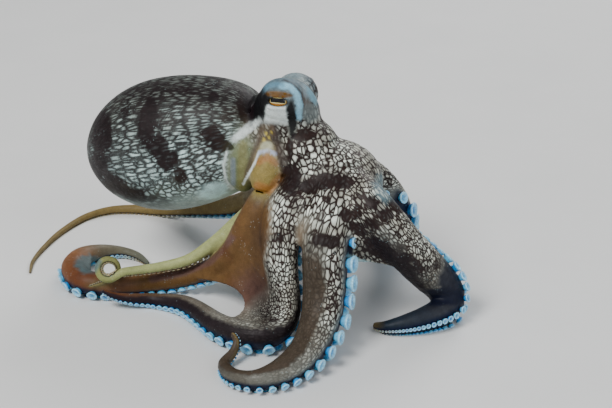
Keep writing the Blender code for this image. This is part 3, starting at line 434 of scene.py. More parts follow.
# The studio, in metres: each light's name, place, size, power and colour, and the point that all face.
FLOOR_HALF = 3.0
SKY_COLOUR, SKY_STRENGTH = (0.93, 0.96, 1.0, 1.0), 0.28
LIGHTS_AIM = (0, 0, 0.04)
STUDIO_LIGHTS = [
    ("key", (-0.30, -0.70, 0.95), 0.50, 13.0, (1.0, 0.99, 0.97)),
    ("fill", (0.80, -0.35, 0.45), 0.80, 3.0, (0.93, 0.96, 1.0)),
    ("back", (0.10, 0.80, 0.60), 0.60, 5.0, (1.0, 1.0, 1.0)),
]


# Curves and simple closed shapes.

def unit(vector):
    """The vector at length 1."""
    vector = np.asarray(vector, float)
    return vector / np.linalg.norm(vector)


def smooth(low, high, value):
    """A smooth step from 0 to 1."""
    t = np.clip((value - low) / (high - low), 0, 1)
    return t * t * (3 - 2 * t)


def mixed(a, b, share):
    """A value or colour between a and b for every share."""
    share = np.asarray(share)[..., None]
    return a * (1 - share) + b * share


def through(values, at):
    """Reads a smooth curve through the rows of values at the given positions, counted in rows."""
    values = np.asarray(values, float)
    values = values.reshape(len(values), -1)
    ends = 2 * values[[0, -1]] - values[[1, -2]]
    rows = np.vstack([ends[:1], values, ends[1:]])
    at = np.clip(np.atleast_1d(at), 0, len(values) - 1)
    i = np.minimum(at.astype(int), len(values) - 2)
    t = (at - i)[:, None]
    a, b, c, d = rows[i], rows[i + 1], rows[i + 2], rows[i + 3]
    return 0.5 * (2 * b + (c - a) * t + (2 * a - 5 * b + 4 * c - d) * t**2 + (3 * b - a - 3 * c + d) * t**3)


def loft(rings, start_point=None, end_point=None):
    """Points and triangles of a skin over rings of equal count, closed by a fan at each end."""
    rings = np.asarray(rings)
    count, sides = rings.shape[:2]
    start = rings[0].mean(0) if start_point is None else start_point
    end = rings[-1].mean(0) if end_point is None else end_point
    points = np.vstack([rings.reshape(-1, 3), [start], [end]])
    r, k = np.meshgrid(np.arange(count - 1), np.arange(sides), indexing="ij")
    a, b = (r * sides + k).ravel(), (r * sides + (k + 1) % sides).ravel()
    faces = [np.stack([a, b, b + sides], 1), np.stack([a, b + sides, a + sides], 1)]
    k = np.arange(sides)
    first, last = count * sides, count * sides + 1
    faces.append(np.stack([(k + 1) % sides, k, np.full(sides, first)], 1))
    k = k + (count - 1) * sides
    faces.append(np.stack([k, (k + 1 - (count - 1) * sides) % sides + (count - 1) * sides,
                           np.full(sides, last)], 1))
    return points, np.vstack(faces)


def ellipsoid(centre, halves, sides=48, rows=32, axes=None):
    """A ball squashed to three half lengths, turned to the given axes."""
    centre, halves = np.array(centre, float), np.array(halves, float)
    polar = math.pi * np.arange(1, rows) / rows
    turn = np.linspace(0, 2 * math.pi, sides, endpoint=False)
    rings = np.stack([np.cos(turn)[None] * np.sin(polar)[:, None],
                      np.repeat(np.cos(polar)[:, None], sides, 1),
                      np.sin(turn)[None] * np.sin(polar)[:, None]], axis=2) * halves
    points, faces = loft(rings, (0, halves[1], 0), (0, -halves[1], 0))
    if axes is not None:
        points = points @ np.array(axes)
    return points + centre, faces


def coil_course():
    """The coil's own control points, which follow those of its arm."""
    out, up, centre = unit(COIL_OUT), unit(COIL_UP), np.array(COIL_CENTRE)
    course = []
    for degrees, reach, radius, behind in COIL_TURNS:
        angle = math.radians(degrees)
        inward = -(out * math.cos(angle) + up * math.sin(angle))
        point = centre - inward * reach - np.cross(out, up) * behind
        course.append((tuple(point), radius, tuple(inward)))
    return course


class Arm:
    """A smooth, tapering course with a sucker side, read by its length from the crown."""

    def __init__(self, name):
        course = ARMS[name] + (coil_course() if name == COIL_ARM else [])
        rows = np.array([(*point, radius, *unit(face)) for point, radius, face in course])
        self.name = name
        self.at = np.arange(0, len(rows) - 1 + 1e-9, 0.04)
        dense = through(rows, self.at)
        self.points, self.radii = dense[:, :3], np.maximum(dense[:, 3], 0.25)
        steps = np.linalg.norm(np.diff(self.points, axis=0), axis=1)
        self.lengths = np.concatenate([[0], np.cumsum(steps)])
        self.tangents = np.gradient(self.points, axis=0)
        self.tangents /= np.linalg.norm(self.tangents, axis=1)[:, None]
        along = (dense[:, 4:] * self.tangents).sum(1)[:, None] * self.tangents
        self.faces = dense[:, 4:] - along
        self.faces /= np.linalg.norm(self.faces, axis=1)[:, None]
        self.sides = np.cross(self.tangents, self.faces)
        self.cell_scale = CELL_SCALES.get(name, 1.0) * np.maximum(self.radii, 1.5) / THICK_ARM
        self.cells = np.concatenate([[0], np.cumsum(steps / self.cell_scale[1:] / CELL_LONG)])

    def length_at(self, control):
        return float(np.interp(control, self.at, self.lengths))

    def read(self, lengths):
        """Points, radii, tangents, sucker directions and sideways directions at lengths from the crown."""
        def value(column):
            return np.stack([np.interp(lengths, self.lengths, column[:, k]) for k in range(3)], axis=-1)
        tangents, faces = value(self.tangents), value(self.faces)
        tangents /= np.linalg.norm(tangents, axis=-1, keepdims=True)
        faces -= (faces * tangents).sum(-1, keepdims=True) * tangents
        faces /= np.linalg.norm(faces, axis=-1, keepdims=True)
        return value(self.points), np.interp(lengths, self.lengths, self.radii), tangents, faces, \
            np.cross(tangents, faces)

    def tube(self):
        """The closed tube, with a rounded tip, a little flatter where the suckers are."""
        lengths = [0.0]
        while lengths[-1] < self.lengths[-1]:
            lengths.append(lengths[-1] + 0.45 * np.interp(lengths[-1], self.lengths, self.radii) + 0.35)
        lengths[-1] = self.lengths[-1]
        points, radii, tangents, faces, sides = self.read(np.array(lengths))
        turn = np.linspace(0, 2 * math.pi, TUBE_SIDES, endpoint=False)
        reach = radii[:, None] * (1 - FLATTER * np.maximum(np.cos(turn), 0) ** 2)
        rings = points[:, None] + reach[..., None] * (
            np.cos(turn)[None, :, None] * faces[:, None] + np.sin(turn)[None, :, None] * sides[:, None])
        return loft(rings, None, points[-1] + tangents[-1] * radii[-1] * 0.7)


def web_shape(arms, first, second, reach_first, reach_second, dip):
    """A thin skin between two arms, whose free edge curves back towards the crown."""
    count = WEB_ROWS
    across = np.linspace(0, 1, count)[None, :]
    bow = 1.0 - dip * 4 * across * (1 - across)
    down = np.linspace(0, 1, count)[:, None] * bow
    ends = []
    for name, reach in ((first, reach_first), (second, reach_second)):
        arm = arms[name]
        control = reach[0] + (reach[1] - reach[0]) * down
        points, radii, _, faces, _ = arm.read(np.interp(control, arm.at, arm.lengths))
        lift = WEB_LIFT[0] + (WEB_LIFT[1] - WEB_LIFT[0]) * down
        ends.append(points - faces * (radii * lift)[..., None])
    middle = mixed(ends[0], ends[1], np.broadcast_to(across, (count, count)))
    normal = np.cross(np.gradient(middle, axis=0), np.gradient(middle, axis=1))
    normal /= np.linalg.norm(normal, axis=2)[:, :, None]
    half = np.linspace(*WEB_THICKNESS, count)[:, None, None] * 0.5
    points = np.concatenate([(middle + normal * side).reshape(-1, 3) for side in (half, -half)])
    index = np.arange(count * count).reshape(count, count)
    a, b, c, d = (part.ravel() for part in (index[:-1, :-1], index[:-1, 1:], index[1:, 1:], index[1:, :-1]))
    top = np.vstack([np.stack([a, b, c], 1), np.stack([a, c, d], 1)])
    rim = np.concatenate([index[0], index[1:, -1], index[-1, -2::-1], index[-2:0:-1, 0]])
    after = np.roll(rim, -1)
    low = count * count
    sides = np.vstack([np.stack([rim, after, after + low], 1), np.stack([rim, after + low, rim + low], 1)])
    return points, np.vstack([top, top[:, ::-1] + low, sides])


def mantle_axes():
    """Directions along the mantle, to its left side and up."""
    along = unit(MANTLE_END - MANTLE_NECK)
    across = np.array((0.0, 1.0, 0.0))
    return along, across, np.cross(across, along)


def mantle_shape():
    """The egg-shaped mantle, lofted along its own axis."""
    along, across, up = mantle_axes()
    length = np.linalg.norm(MANTLE_END - MANTLE_NECK)
    profile = through(MANTLE_PROFILE, np.linspace(0, len(MANTLE_PROFILE) - 1, 60))
    turn = np.linspace(0, 2 * math.pi, 64, endpoint=False)
    rings = [MANTLE_NECK + along * length * share
             + radius * (np.cos(turn)[:, None] * up + MANTLE_WIDTH * np.sin(turn)[:, None] * across)
             for share, radius in profile]
    return loft(rings, MANTLE_NECK, MANTLE_END)


def eye_frame(side):
    """Gaze, level and upright directions of one eye."""
    gaze = unit(GAZES[side])
    level = unit(np.cross(gaze, (0.0, 0.0, 1.0)) * (-1 if side == "right" else 1))
    upright = unit(np.cross(level, gaze))
    upright = upright if upright[2] > 0 else -upright
    return gaze, level, upright


def lids(side):
    """The swollen rims above and below the opening of an eye."""
    gaze, level, upright = eye_frame(side)
    centre = np.array(EYEBALLS[side])
    return [ellipsoid(centre + gaze * out + upright * height, halves, 24, 16, (level, gaze, upright))
            for height, out, halves in LID_FORMS]


def eye_opening(side):
    """What is cut from the head for one eye: a socket and the opening between the lids."""
    gaze, level, upright = eye_frame(side)
    centre = np.array(EYEBALLS[side])
    length, height, depth = EYE_SLOT
    slot = centre + gaze * (EYE_RADIUS + 0.6) + upright * SLOT_LIFT
    return [ellipsoid(centre, (EYE_RADIUS + 0.05,) * 3, 48, 32),
            ellipsoid(slot, (length, depth, height), 40, 24, (level, gaze, upright))]


def hoop(axis):
    """Points of a unit circle round an axis."""
    level = unit(np.cross(axis, (0.0, 0.0, 1.0)))
    turn = np.linspace(0, 2 * math.pi, 32, endpoint=False)[:, None]
    return np.cos(turn) * level + np.sin(turn) * np.cross(level, axis)


def funnel_end():
    """The middle of the funnel's opening and the way it points."""
    end, before = np.array(FUNNEL[-1][:3]), np.array(FUNNEL[-2][:3])
    return end, unit(end - before)


def funnel_shape():
    """The funnel's tube along its bend, closed at its end."""
    rings = []
    for position in np.linspace(0, 3, 24):
        *centre, radius = through(FUNNEL, position)[0]
        axis = unit(through(FUNNEL, position + 0.1)[0][:3] - through(FUNNEL, position - 0.1)[0][:3])
        rings.append(np.array(centre) + radius * hoop(axis))
    end, axis = funnel_end()
    return loft(rings, None, end + axis * 1.0)


def funnel_bore():
    """What is cut from the funnel's end."""
    end, axis = funnel_end()
    radius, depth = FUNNEL_BORE
    return loft([end + axis * along + radius * wide * hoop(axis)
                 for along, wide in ((-depth, 0.6), (-depth / 2, 0.85), (0.0, 1.0), (1.1, 1.1))])


# Meshes.

def linked(name, data):
    """A new object of some data, in the scene."""
    obj = bpy.data.objects.new(name, data)
    bpy.context.scene.collection.objects.link(obj)
    return obj


def mesh_object(name, shapes):
    """One object of closed millimetre shapes, in metres and in the model's place."""
    offset, points, faces = 0, [], []
    for shape_points, shape_faces in shapes:
        points.append(shape_points)
        faces.append(shape_faces + offset)
        offset += len(shape_points)
    points, faces = (np.vstack(points) + SHIFT) * MM, np.vstack(faces)
    mesh = bpy.data.meshes.new(name)
    mesh.from_pydata(points.tolist(), [], faces.tolist())
    work = bmesh.new()
    work.from_mesh(mesh)
    bmesh.ops.recalc_face_normals(work, faces=work.faces)
    work.to_mesh(mesh)
    work.free()
    return linked(name, mesh)


def applied(obj):
    """Turns an object's modifiers into its mesh."""
    graph = bpy.context.evaluated_depsgraph_get()
    result = bpy.data.meshes.new_from_object(obj.evaluated_get(graph))
    obj.modifiers.clear()
    old, obj.data = obj.data, result
    bpy.data.meshes.remove(old)
    return obj


def points_of(mesh):
    """A mesh's points in millimetres, in the frame that the shapes are drawn in."""
    values = np.empty(len(mesh.vertices) * 3)
    mesh.vertices.foreach_get("co", values)
    return values.reshape(-1, 3) / MM - SHIFT


def above_floor(points):
    """The points, with none below the floor."""
    return np.column_stack([points[:, :2], np.maximum(points[:, 2], 0.0)])


def normals_of(mesh):
    """The direction of the surface at each point."""
    values = np.empty(len(mesh.vertices) * 3, dtype=np.float32)
    mesh.vertex_normals.foreach_get("vector", values)
    return values.reshape(-1, 3).astype(float)


def place_points(mesh, points):
    """Moves a mesh's points, which are given in millimetres."""
    mesh.vertices.foreach_set("co", ((points + SHIFT) * MM).ravel())
    mesh.update()


def give(mesh, name, values, kind):
    """Stores one value for each vertex. Colours are padded to four channels."""
    values = np.asarray(values, dtype=np.float32)
    if kind == "FLOAT_COLOR" and values.shape[1] == 3:
        values = np.hstack([values, np.ones((len(values), 1), np.float32)])
    field = {"FLOAT": "value", "FLOAT_VECTOR": "vector", "FLOAT_COLOR": "color"}[kind]
    mesh.attributes.new(name, kind, "POINT").data.foreach_set(field, np.ascontiguousarray(values).ravel())


def soften(mesh, passes, even_passes):
    """Fills the creases between the forms and evens out the surface, without thinning the arms."""
    edges = np.empty(len(mesh.edges) * 2, dtype=np.int64)
    mesh.edges.foreach_get("vertices", edges)
    a, b = edges.reshape(-1, 2).T
    points = points_of(mesh)
    degree = np.bincount(a, minlength=len(points)) + np.bincount(b, minlength=len(points))

    def pull(values):
        count = len(values)
        total = np.stack([np.bincount(a, column[b], count) + np.bincount(b, column[a], count)
                          for column in values.T], axis=1)
        return total / degree[:, None] - values

    keep = soft_zone(points)
    for step in range(passes):
        if step % 8 == 0:
            place_points(mesh, points)
            normals = normals_of(mesh)
        outward = (pull(points) * normals).sum(1)
        points = points + normals * (np.maximum(outward, 0) * 0.9 * keep)[:, None]
    for _ in range(even_passes):
        points = points + 0.50 * pull(points)
        points = points - 0.52 * pull(points)
    place_points(mesh, above_floor(points))


def soft_zone(points):
    """Where creases are filled: not at the eyes, the collar's lower lip, the funnel's end or the coil."""
    keep = np.ones(len(points))
    for centre, radius in ((EYEBALLS["right"], 6.5), (EYEBALLS["left"], 6.5), (FUNNEL[-1][:3], 6.0),
                           (COLLAR_LIP, 6.0), (COIL_CENTRE, 7.0)):
        keep *= smooth(radius * 0.8, radius * 1.2, np.linalg.norm(points - np.array(centre), axis=1))
    return keep


def cut(obj, shapes):
    """Cuts each closed shape from obj."""
    for shape in shapes:
        tool = mesh_object("tool", [shape])
        step = obj.modifiers.new("cut", "BOOLEAN")
        step.operation, step.solver, step.object = "DIFFERENCE", "MANIFOLD", tool
        applied(obj)
        bpy.data.objects.remove(tool, do_unlink=True)


def triangle_count(mesh):
    return sum(len(polygon.vertices) - 2 for polygon in mesh.polygons)


def make_skin(arms):
    """The one closed skin over every form, with the eyes' openings and the funnel's bore."""
    shapes = [mantle_shape()]
    shapes += [ellipsoid(*mass) for mass in (HEAD_CORE, FOREHEAD, NECK_SIDE, CROWN, COLLAR)]
    shapes += [funnel_shape()]
    shapes += [ellipsoid(*mound) for mound in EYE_MOUNDS.values()]
    shapes += [arm.tube() for arm in arms.values()]
    shapes += [web_shape(arms, *web) for web in WEBS]
    for side in EYEBALLS:
        shapes += lids(side)
    skin = mesh_object("skin", shapes)
    step = skin.modifiers.new("blend", "REMESH")
    step.mode, step.voxel_size = "VOXEL", VOXEL * MM
    applied(skin)
    soften(skin.data, FILL_PASSES, 4)
    cut(skin, [funnel_bore(), *(shape for side in EYEBALLS for shape in eye_opening(side))])
    thin = skin.modifiers.new("thin", "DECIMATE")
    thin.ratio = SKIN_TRIANGLES / triangle_count(skin.data)
    applied(skin)
    skin.data.shade_smooth()
    return skin


# Where a point of the skin lies.

def camera_axes():
    """Right, up and backward directions of the camera, and its place."""
    back = np.array((math.sin(CAMERA_AZIMUTH) * math.cos(CAMERA_ELEVATION),
                     -math.cos(CAMERA_AZIMUTH) * math.cos(CAMERA_ELEVATION), math.sin(CAMERA_ELEVATION)))
    right = np.array((math.cos(CAMERA_AZIMUTH), math.sin(CAMERA_AZIMUTH), 0.0))
    up = np.cross(back, right)
    target = right * (PHOTO_WIDTH / 2 - CROWN_PIXEL[0]) + up * (CROWN_PIXEL[1] - PHOTO_HEIGHT / 2)
    return right, up, back, target * MM_PER_PIXEL + back * CAMERA_DISTANCE


def seen(points):
    """The photo pixels (u, v) at which points show."""
    right, up, back, eye = camera_axes()
    away = points - eye
    scale = CAMERA_DISTANCE / -(away @ back) / MM_PER_PIXEL
    return PHOTO_WIDTH / 2 + (away @ right) * scale, PHOTO_HEIGHT / 2 - (away @ up) * scale


class Places:
    """For every point: how far it is from each form, and its place along and round the nearest arms."""

    def __init__(self, points, arms):
        self.points = points
        self.u, self.v = seen(points)
        self.ragged = 1 + 0.16 * wobble(points, 2.4, 9)
        along, across, up = mantle_axes()
        length = np.linalg.norm(MANTLE_END - MANTLE_NECK)
        away = points - MANTLE_NECK
        self.mantle_share = away @ along / length
        profile = np.array(MANTLE_PROFILE)
        radius = np.interp(self.mantle_share, profile[:, 0], profile[:, 1])
        level, height = away @ across / MANTLE_WIDTH, away @ up
        off_end = np.maximum(self.mantle_share - 1, 0) * length + np.maximum(-self.mantle_share, 0) * length
        beyond = np.hypot(level, height) - radius
        self.mantle = np.hypot(beyond, off_end) * np.sign(beyond + off_end)
        self.mantle_height = height / np.maximum(radius, 1)
        steep = 1 + 0.45 * smooth(-0.2, 1.0, self.mantle_height)

        def net(cell, closer):
            """Place in a net along and round the mantle, whose cells keep their count as it narrows."""
            spread = FULL_GIRTH / np.maximum(radius, 8.0) / cell[1]
            return np.stack([self.mantle_share * length / cell[0], level * spread * closer,
                             height * spread * closer], axis=1)

        self.mantle_net, self.flank_net = net(MANTLE_CELL, steep), net(FLANK_CELL, 1.0)
        masses = (HEAD_CORE, FOREHEAD, NECK_SIDE, *EYE_MOUNDS.values())
        self.head = np.min([self.ball(*mass) for mass in masses], axis=0)
        self.crown = self.ball(*CROWN)
        self.collar = self.ball(*COLLAR)
        self.funnel = self.near_funnel()
        axis = unit(CROWN_FLOW)
        side = unit(np.cross(axis, (0.0, 1.0, 0.0)))
        along, wide = CROWN_CELL
        self.crown_net = points @ np.stack([axis / along, side / wide, np.cross(axis, side) / wide]).T
        self.arm = {name: self.near_arm(arm) for name, arm in arms.items()}

    def ball(self, centre, halves):
        """Distance from a rounded mass, less than 0 inside."""
        halves = np.array(halves)
        return (np.linalg.norm((self.points - np.array(centre)) / halves, axis=1) - 1) * halves.min()

    def near_funnel(self):
        """Distance from the funnel's tube."""
        course = through(FUNNEL, np.linspace(0, 3, 30))
        gaps = np.linalg.norm(self.points[:, None] - course[None, :, :3], axis=2) - course[None, :, 3]
        return gaps.min(1)

    def near_arm(self, arm):
        """Clearance, control position, offsets towards the suckers and sideways, and net place."""
        found = []
        for start in range(0, len(self.points), POINTS_AT_ONCE):
            part = self.points[start:start + POINTS_AT_ONCE]
            gaps = (part**2).sum(1)[:, None] + (arm.points**2).sum(1)[None] - 2 * part @ arm.points.T
            found.append(gaps.argmin(1))
        near = np.concatenate(found)
        away = self.points - arm.points[near]
        ahead = (away * arm.tangents[near]).sum(1)
        flat = away - ahead[:, None] * arm.tangents[near]
        towards, sideways = (flat * arm.faces[near]).sum(1), (flat * arm.sides[near]).sum(1)
        radius, scale = arm.radii[near], arm.cell_scale[near]
        net = np.stack([arm.cells[near] + ahead / scale / CELL_LONG, towards / scale / CELL_WIDE,
                        sideways / scale / CELL_WIDE], axis=1)
        reach = np.maximum(np.hypot(towards, sideways), 1e-6)
        return {"gap": np.linalg.norm(away, axis=1) - radius, "control": arm.at[near], "net": net,
                "towards": towards / reach, "sideways": sideways / reach}

    def spot(self, u, v, half_u, half_v, tilt=0.0, edge=0.35):
        """1 inside an ellipse drawn on the photo, fading over its edge."""
        du, dv = self.u - u, self.v - v
        c, s = math.cos(math.radians(tilt)), math.sin(math.radians(tilt))
        reach = np.hypot((du * c + dv * s) / half_u, (dv * c - du * s) / half_v) * self.ragged
        return 1 - smooth(1 - edge, 1 + edge, reach)

    def streak(self, course, width):
        """1 near a line through photo pixels, fading to its width."""
        nearest = np.full(len(self.u), 1e9)
        for (u0, v0), (u1, v1) in zip(course, course[1:]):
            du, dv = u1 - u0, v1 - v0
            t = np.clip(((self.u - u0) * du + (self.v - v0) * dv) / (du * du + dv * dv), 0, 1)
            nearest = np.minimum(nearest, np.hypot(self.u - u0 - t * du, self.v - v0 - t * dv))
        return 1 - smooth(width * 0.55, width * 1.45, nearest)


def wobble(points, size, seed):
    """Soft, repeatable unevenness between -1 and 1 with features of about the given size."""
    draw = np.random.default_rng(seed)
    total = np.zeros(len(points))
    for _ in range(WAVES):
        wave = draw.normal(size=3)
        wave *= 2 * math.pi / size / np.linalg.norm(wave) * draw.uniform(0.6, 1.4)
        total += np.sin(points @ wave + draw.uniform(0, 2 * math.pi))
    return total / WAVES * WAVE_HEIGHT


# Markings.

def both(coat, over, share):
    """A pair of colours, of cells and of the ground between them, with a share of another pair over it."""
    return mixed(coat[0], over[0], share), mixed(coat[1], over[1], share)


def laid(coat, colour, deeper, share):
    """The pair with one colour over it, which is a little deeper on the ground."""
    return both(coat, (colour, colour * deeper), share)


def arm_stations(stations, control):
    """Reads (control, net, colour) rows at positions along an arm."""
    at = [row[0] for row in stations]
    net = np.interp(control, at, [row[1] for row in stations])
    colour = np.stack([np.interp(control, at, [row[2][k] for row in stations]) for k in range(3)], axis=1)
    return net, colour


def form_shares(place, arm_gap):
    """How much of every point belongs to each form: soft where two forms meet."""
    gaps = {"mantle": place.mantle, "head": place.head, "crown": place.crown, "collar": place.collar,
            "funnel": place.funnel, "arms": np.minimum(arm_gap, 0.9)}
    shares = {name: np.exp(-np.clip(gap, -1.5, 30) / 0.7) for name, gap in gaps.items()}
    total = sum(shares.values())
    return {name: value / total for name, value in shares.items()}


def near_arms(place):
    """From the arms near each point: the net's strength, the underside's share and the plain colour."""
    n = len(place.points)
    net, weight, oral, plain = np.zeros(n), np.zeros(n), np.zeros(n), np.zeros((n, 3))
    for name, facts in place.arm.items():
        near = np.exp(-np.clip(facts["gap"], 0, 30) / 0.9)
        own_net, colour = arm_stations(ARM_LOOKS[name], facts["control"])
        net += near * own_net
        plain += near[:, None] * colour
        weight += near
        oral += near * smooth(0.35, 0.75, facts["towards"]) * smooth(0.9, 1.6, facts["control"]) \
            * (1 - smooth(0.4, 1.6, facts["gap"]))
    weight = np.maximum(weight, 1e-12)
    return net / weight, oral / weight, plain / weight[:, None]


def plain_flanks(place, fine):
    """Where the arms' flanks are plain, and their colour there."""
    flank, tone = np.zeros(len(place.points)), PLUM
    for name, (towards, sideways), start, (soft, full), colour in FLANKS:
        facts = place.arm[name]
        facing = facts["towards"] * towards + facts["sideways"] * sideways
        mark = smooth(soft, full, facing + 0.12 * fine)
        begun = smooth(start - 0.4, start + 0.6, facts["control"])
        mark = mark * begun * (1 - smooth(0.2, 0.9, facts["gap"]))
        flank = np.maximum(flank, mark)
        tone = mixed(tone, colour, mark)
    return flank, tone


def brown_web(place, uneven, arm_share):
    """The big plain web between the two hind right arms: its share of every point, and its colour."""
    r3, r4, l4 = (place.arm[name] for name in ("right_3", "right_4", "left_4"))
    brown = smooth(0.2, 1.8, r3["gap"]) * (1 - smooth(14, 22, r3["gap"])) * (1 - smooth(14, 22, r4["gap"])) \
        * smooth(0.9, 1.7, r3["control"]) * (place.points[:, 1] < -6) * (1 - smooth(6.0, 7.0, r4["control"]))
    brown = np.maximum(brown, place.spot(*BROWN_WEB)) * smooth(0.3, 1.6, l4["gap"]) * arm_share
    tone = mixed(WEB_BROWN, RUST, smooth(0.0, 0.9, uneven) * 0.35)
    mauve = np.maximum(place.spot(*MAUVE_SPOT) * 0.7, place.streak(*MAUVE_STREAK) * 0.8)
    margin = brown * (1 - smooth(0.8, 2.6, r3["gap"])) * smooth(0.4, 1.0, r3["gap"])
    return brown, mixed(mixed(tone, MAUVE, mauve), PLUM, margin * 0.35)


def arm_coat(place, bright_cell, arm_gap, arm_share, uneven, fine):
    """The arms and webs: cells down to a control point of each arm, plain below."""
    net, oral, plain = near_arms(place)
    flank, flank_tone = plain_flanks(place, fine)
    coat = laid((bright_cell, UMBER), plain, 0.75, 1 - net)
    coat = mixed(coat[0], flank_tone * 1.2, 0.97 * flank), mixed(coat[1], flank_tone * 0.7, flank)
    net = net * (1 - 0.35 * flank)
    brown, brown_tone = brown_web(place, uneven, arm_share)
    coat, net = laid(coat, brown_tone, 0.8, brown), net * (1 - brown)
    under = oral * (1 - smooth(0.0, 0.4, arm_gap - 0.6))
    return laid(coat, NAVY, 0.6, under), net * (1 - under)


def mantle_coat(place, uneven):
    """Grey-tan above, partly darkened there as painted shade, pale cells on the flank, a plain pale belly,
    darker at the hind end, partly as painted shade.
    """
    height, share = place.mantle_height, place.mantle_share
    cell = mixed(ICE, STONE_AND_SHADE, smooth(-0.1, 0.95, height + 0.15 * uneven))
    cell = mixed(cell, BELLY, smooth(0.45, 0.80, -height))
    ground = mixed(MAROON, BELLY * 0.7, smooth(0.45, 0.78, -height))
    # Darker towards the hind end: partly painted shade of that far end, partly darker skin.
    hind = (1 - 0.5 * smooth(0.78, 1.0, share))[:, None]
    line = 0.17 + 0.06 * smooth(0.1, 0.8, height) + 0.05 * smooth(0.70, 0.95, share)
    line = line - 0.03 * smooth(0.2, 0.7, -height)
    return (cell * hind, ground * hind), 1 - 0.9 * smooth(0.55, 0.80, -height), line


def head_coat(place, bright_cell, uneven):
    """Fine cells on the brow, blue-grey only over the mounds."""
    tall = place.points[:, 2]
    bare = np.maximum(smooth(72, 78, tall + 1.5 * uneven), 0.9 * place.spot(*BARE_BROW))
    cell = mixed(bright_cell, BLUE_GREY, np.maximum(bare, smooth(60, 74, tall) * 0.8))
    return (cell, mixed(UMBER, BLUE_GREY * 0.75, bare)), 1 - 0.9 * bare


def plain_parts(place):
    """The two forms without a net, the collar and the funnel: name, colour, and how deep its ground is."""
    olive = mixed(OLIVE, OLIVE_GOLD, place.streak(*COLLAR_GOLD) * 0.7)
    olive = mixed(olive, SLATE, place.streak(*COLLAR_SLATE) * 0.9)
    rims = np.max([place.streak(*rim) for rim in FUNNEL_RIMS], axis=0)
    return ("collar", olive, 0.8), ("funnel", mixed(FUNNEL_TAN, FUNNEL_AMBER, rims), 0.85)


def paint(mesh, arms):
    """Gives the skin its cells, ground, zones and line widths."""
    points = points_of(mesh)
    place = Places(points, arms)
    broad, uneven, fine = wobble(points, 20.0, 3), wobble(points, 9.0, 4), wobble(points, 3.0, 5)

    # Each point reads the net of the nearest arm of each set.
    rows = np.arange(len(points))
    gaps, nets = [], []
    for names in (EVEN_ARMS, ODD_ARMS):
        every_gap = np.stack([place.arm[name]["gap"] for name in names])
        every_net = np.stack([place.arm[name]["net"] for name in names])
        gaps.append(every_gap.min(0))
        nets.append(every_net[every_gap.argmin(0), rows])
    odd_share = smooth(-0.9, 0.9, gaps[0] - gaps[1])
    arm_gap = np.minimum(*gaps)
    shares = form_shares(place, arm_gap)

    # Each form's coat is laid over the last by its share.
    clustered = np.max([place.spot(*spot, 0.5) * strength for *spot, strength in PALE_CLUSTERS], axis=0)
    clustered = np.where(points[:, 1] < 4, clustered, smooth(-0.2, 0.8, uneven))
    bright = np.clip(0.30 + 0.30 * smooth(-0.7, 0.8, uneven + 0.5 * fine) + 0.75 * clustered, 0, 1)
    bright_cell = mixed(DUN, CREAM, bright)
    line = 0.135 + 0.025 * broad + 0.02 * uneven
    w = shares["arms"]
    coat, own_net = arm_coat(place, bright_cell, arm_gap, w, uneven, fine)
    skin, net = both((bright_cell, UMBER), coat, w), 1 - w + own_net * w
    w = shares["mantle"]
    coat, own_net, own_line = mantle_coat(place, uneven)
    skin, net, line = both(skin, coat, w), net * (1 - w) + own_net * w, line * (1 - w) + own_line * w
    w = shares["head"]
    coat, own_net = head_coat(place, bright_cell, uneven)
    skin, net, line = both(skin, coat, w), net * (1 - w) + own_net * w, line * (1 - w) + 0.15 * w

    # Dark blotches and saddles, drawn where the photo shows them.
    dark = np.zeros(len(points))
    for *spot, strength in BLOTCHES:
        dark = np.maximum(dark, place.spot(*spot, 0.45) * strength * (1 + 0.30 * fine))
    dark = np.clip(dark, 0, 1) * net
    line = line + 0.10 * dark
    # Broad dim areas: partly painted shade over the mantle's top, underside and hind end and the shaded
    # arms, partly darker skin.
    for *spot, strength in DIM_AND_SHADED_AREAS:
        dim_and_shade = place.spot(*spot, 0.7) * strength * (points[:, 1] < 12)
        skin = laid(skin, DARK_CELLS_AND_SHADE, 0.8, dim_and_shade)

    for name, colour, deeper in plain_parts(place):
        skin, net = laid(skin, colour, deeper, shares[name]), net * (1 - shares[name])
    for course, width, colour, strength, plain in STREAKS:
        mark = place.streak(course, width) * strength * (points[:, 1] < NEAR_SIDE)
        skin, net = laid(skin, colour, 0.9 if plain > 0.5 else 0.6, mark), net * (1 - mark * plain)
    for *spot, colour, strength, plain in PATCHES:
        mark = place.spot(*spot, 0.22) * strength * (points[:, 1] < NEAR_SIDE)
        skin, net = laid(skin, colour, 0.95, mark), net * (1 - mark * plain)
    paint_eyes(points, skin, net)

    front = np.clip(shares["head"] + shares["crown"] + shares["collar"] + shares["funnel"], 0, 1)
    front = front * (1 - smooth(0.0, 1.6, place.crown * (shares["arms"] > 0.5)))
    rounder = smooth(-0.05, -0.35, place.mantle_height + 0.35 * (0.55 - place.mantle_share))
    give(mesh, "cell", skin[0], "FLOAT_COLOR")
    give(mesh, "ground", skin[1], "FLOAT_COLOR")
    give(mesh, "zone", np.stack([shares["mantle"], front, odd_share, net], axis=1), "FLOAT_COLOR")
    give(mesh, "line", line, "FLOAT")
    give(mesh, "marks", np.stack([dark, rounder, np.zeros(len(points))], axis=1), "FLOAT_COLOR")
    for name, values in (("mantle", place.mantle_net), ("flank", place.flank_net),
                         ("crown", place.crown_net), ("even", nets[0]), ("odd", nets[1] + ODD_OFFSET)):
        give(mesh, f"net_{name}", values, "FLOAT_VECTOR")


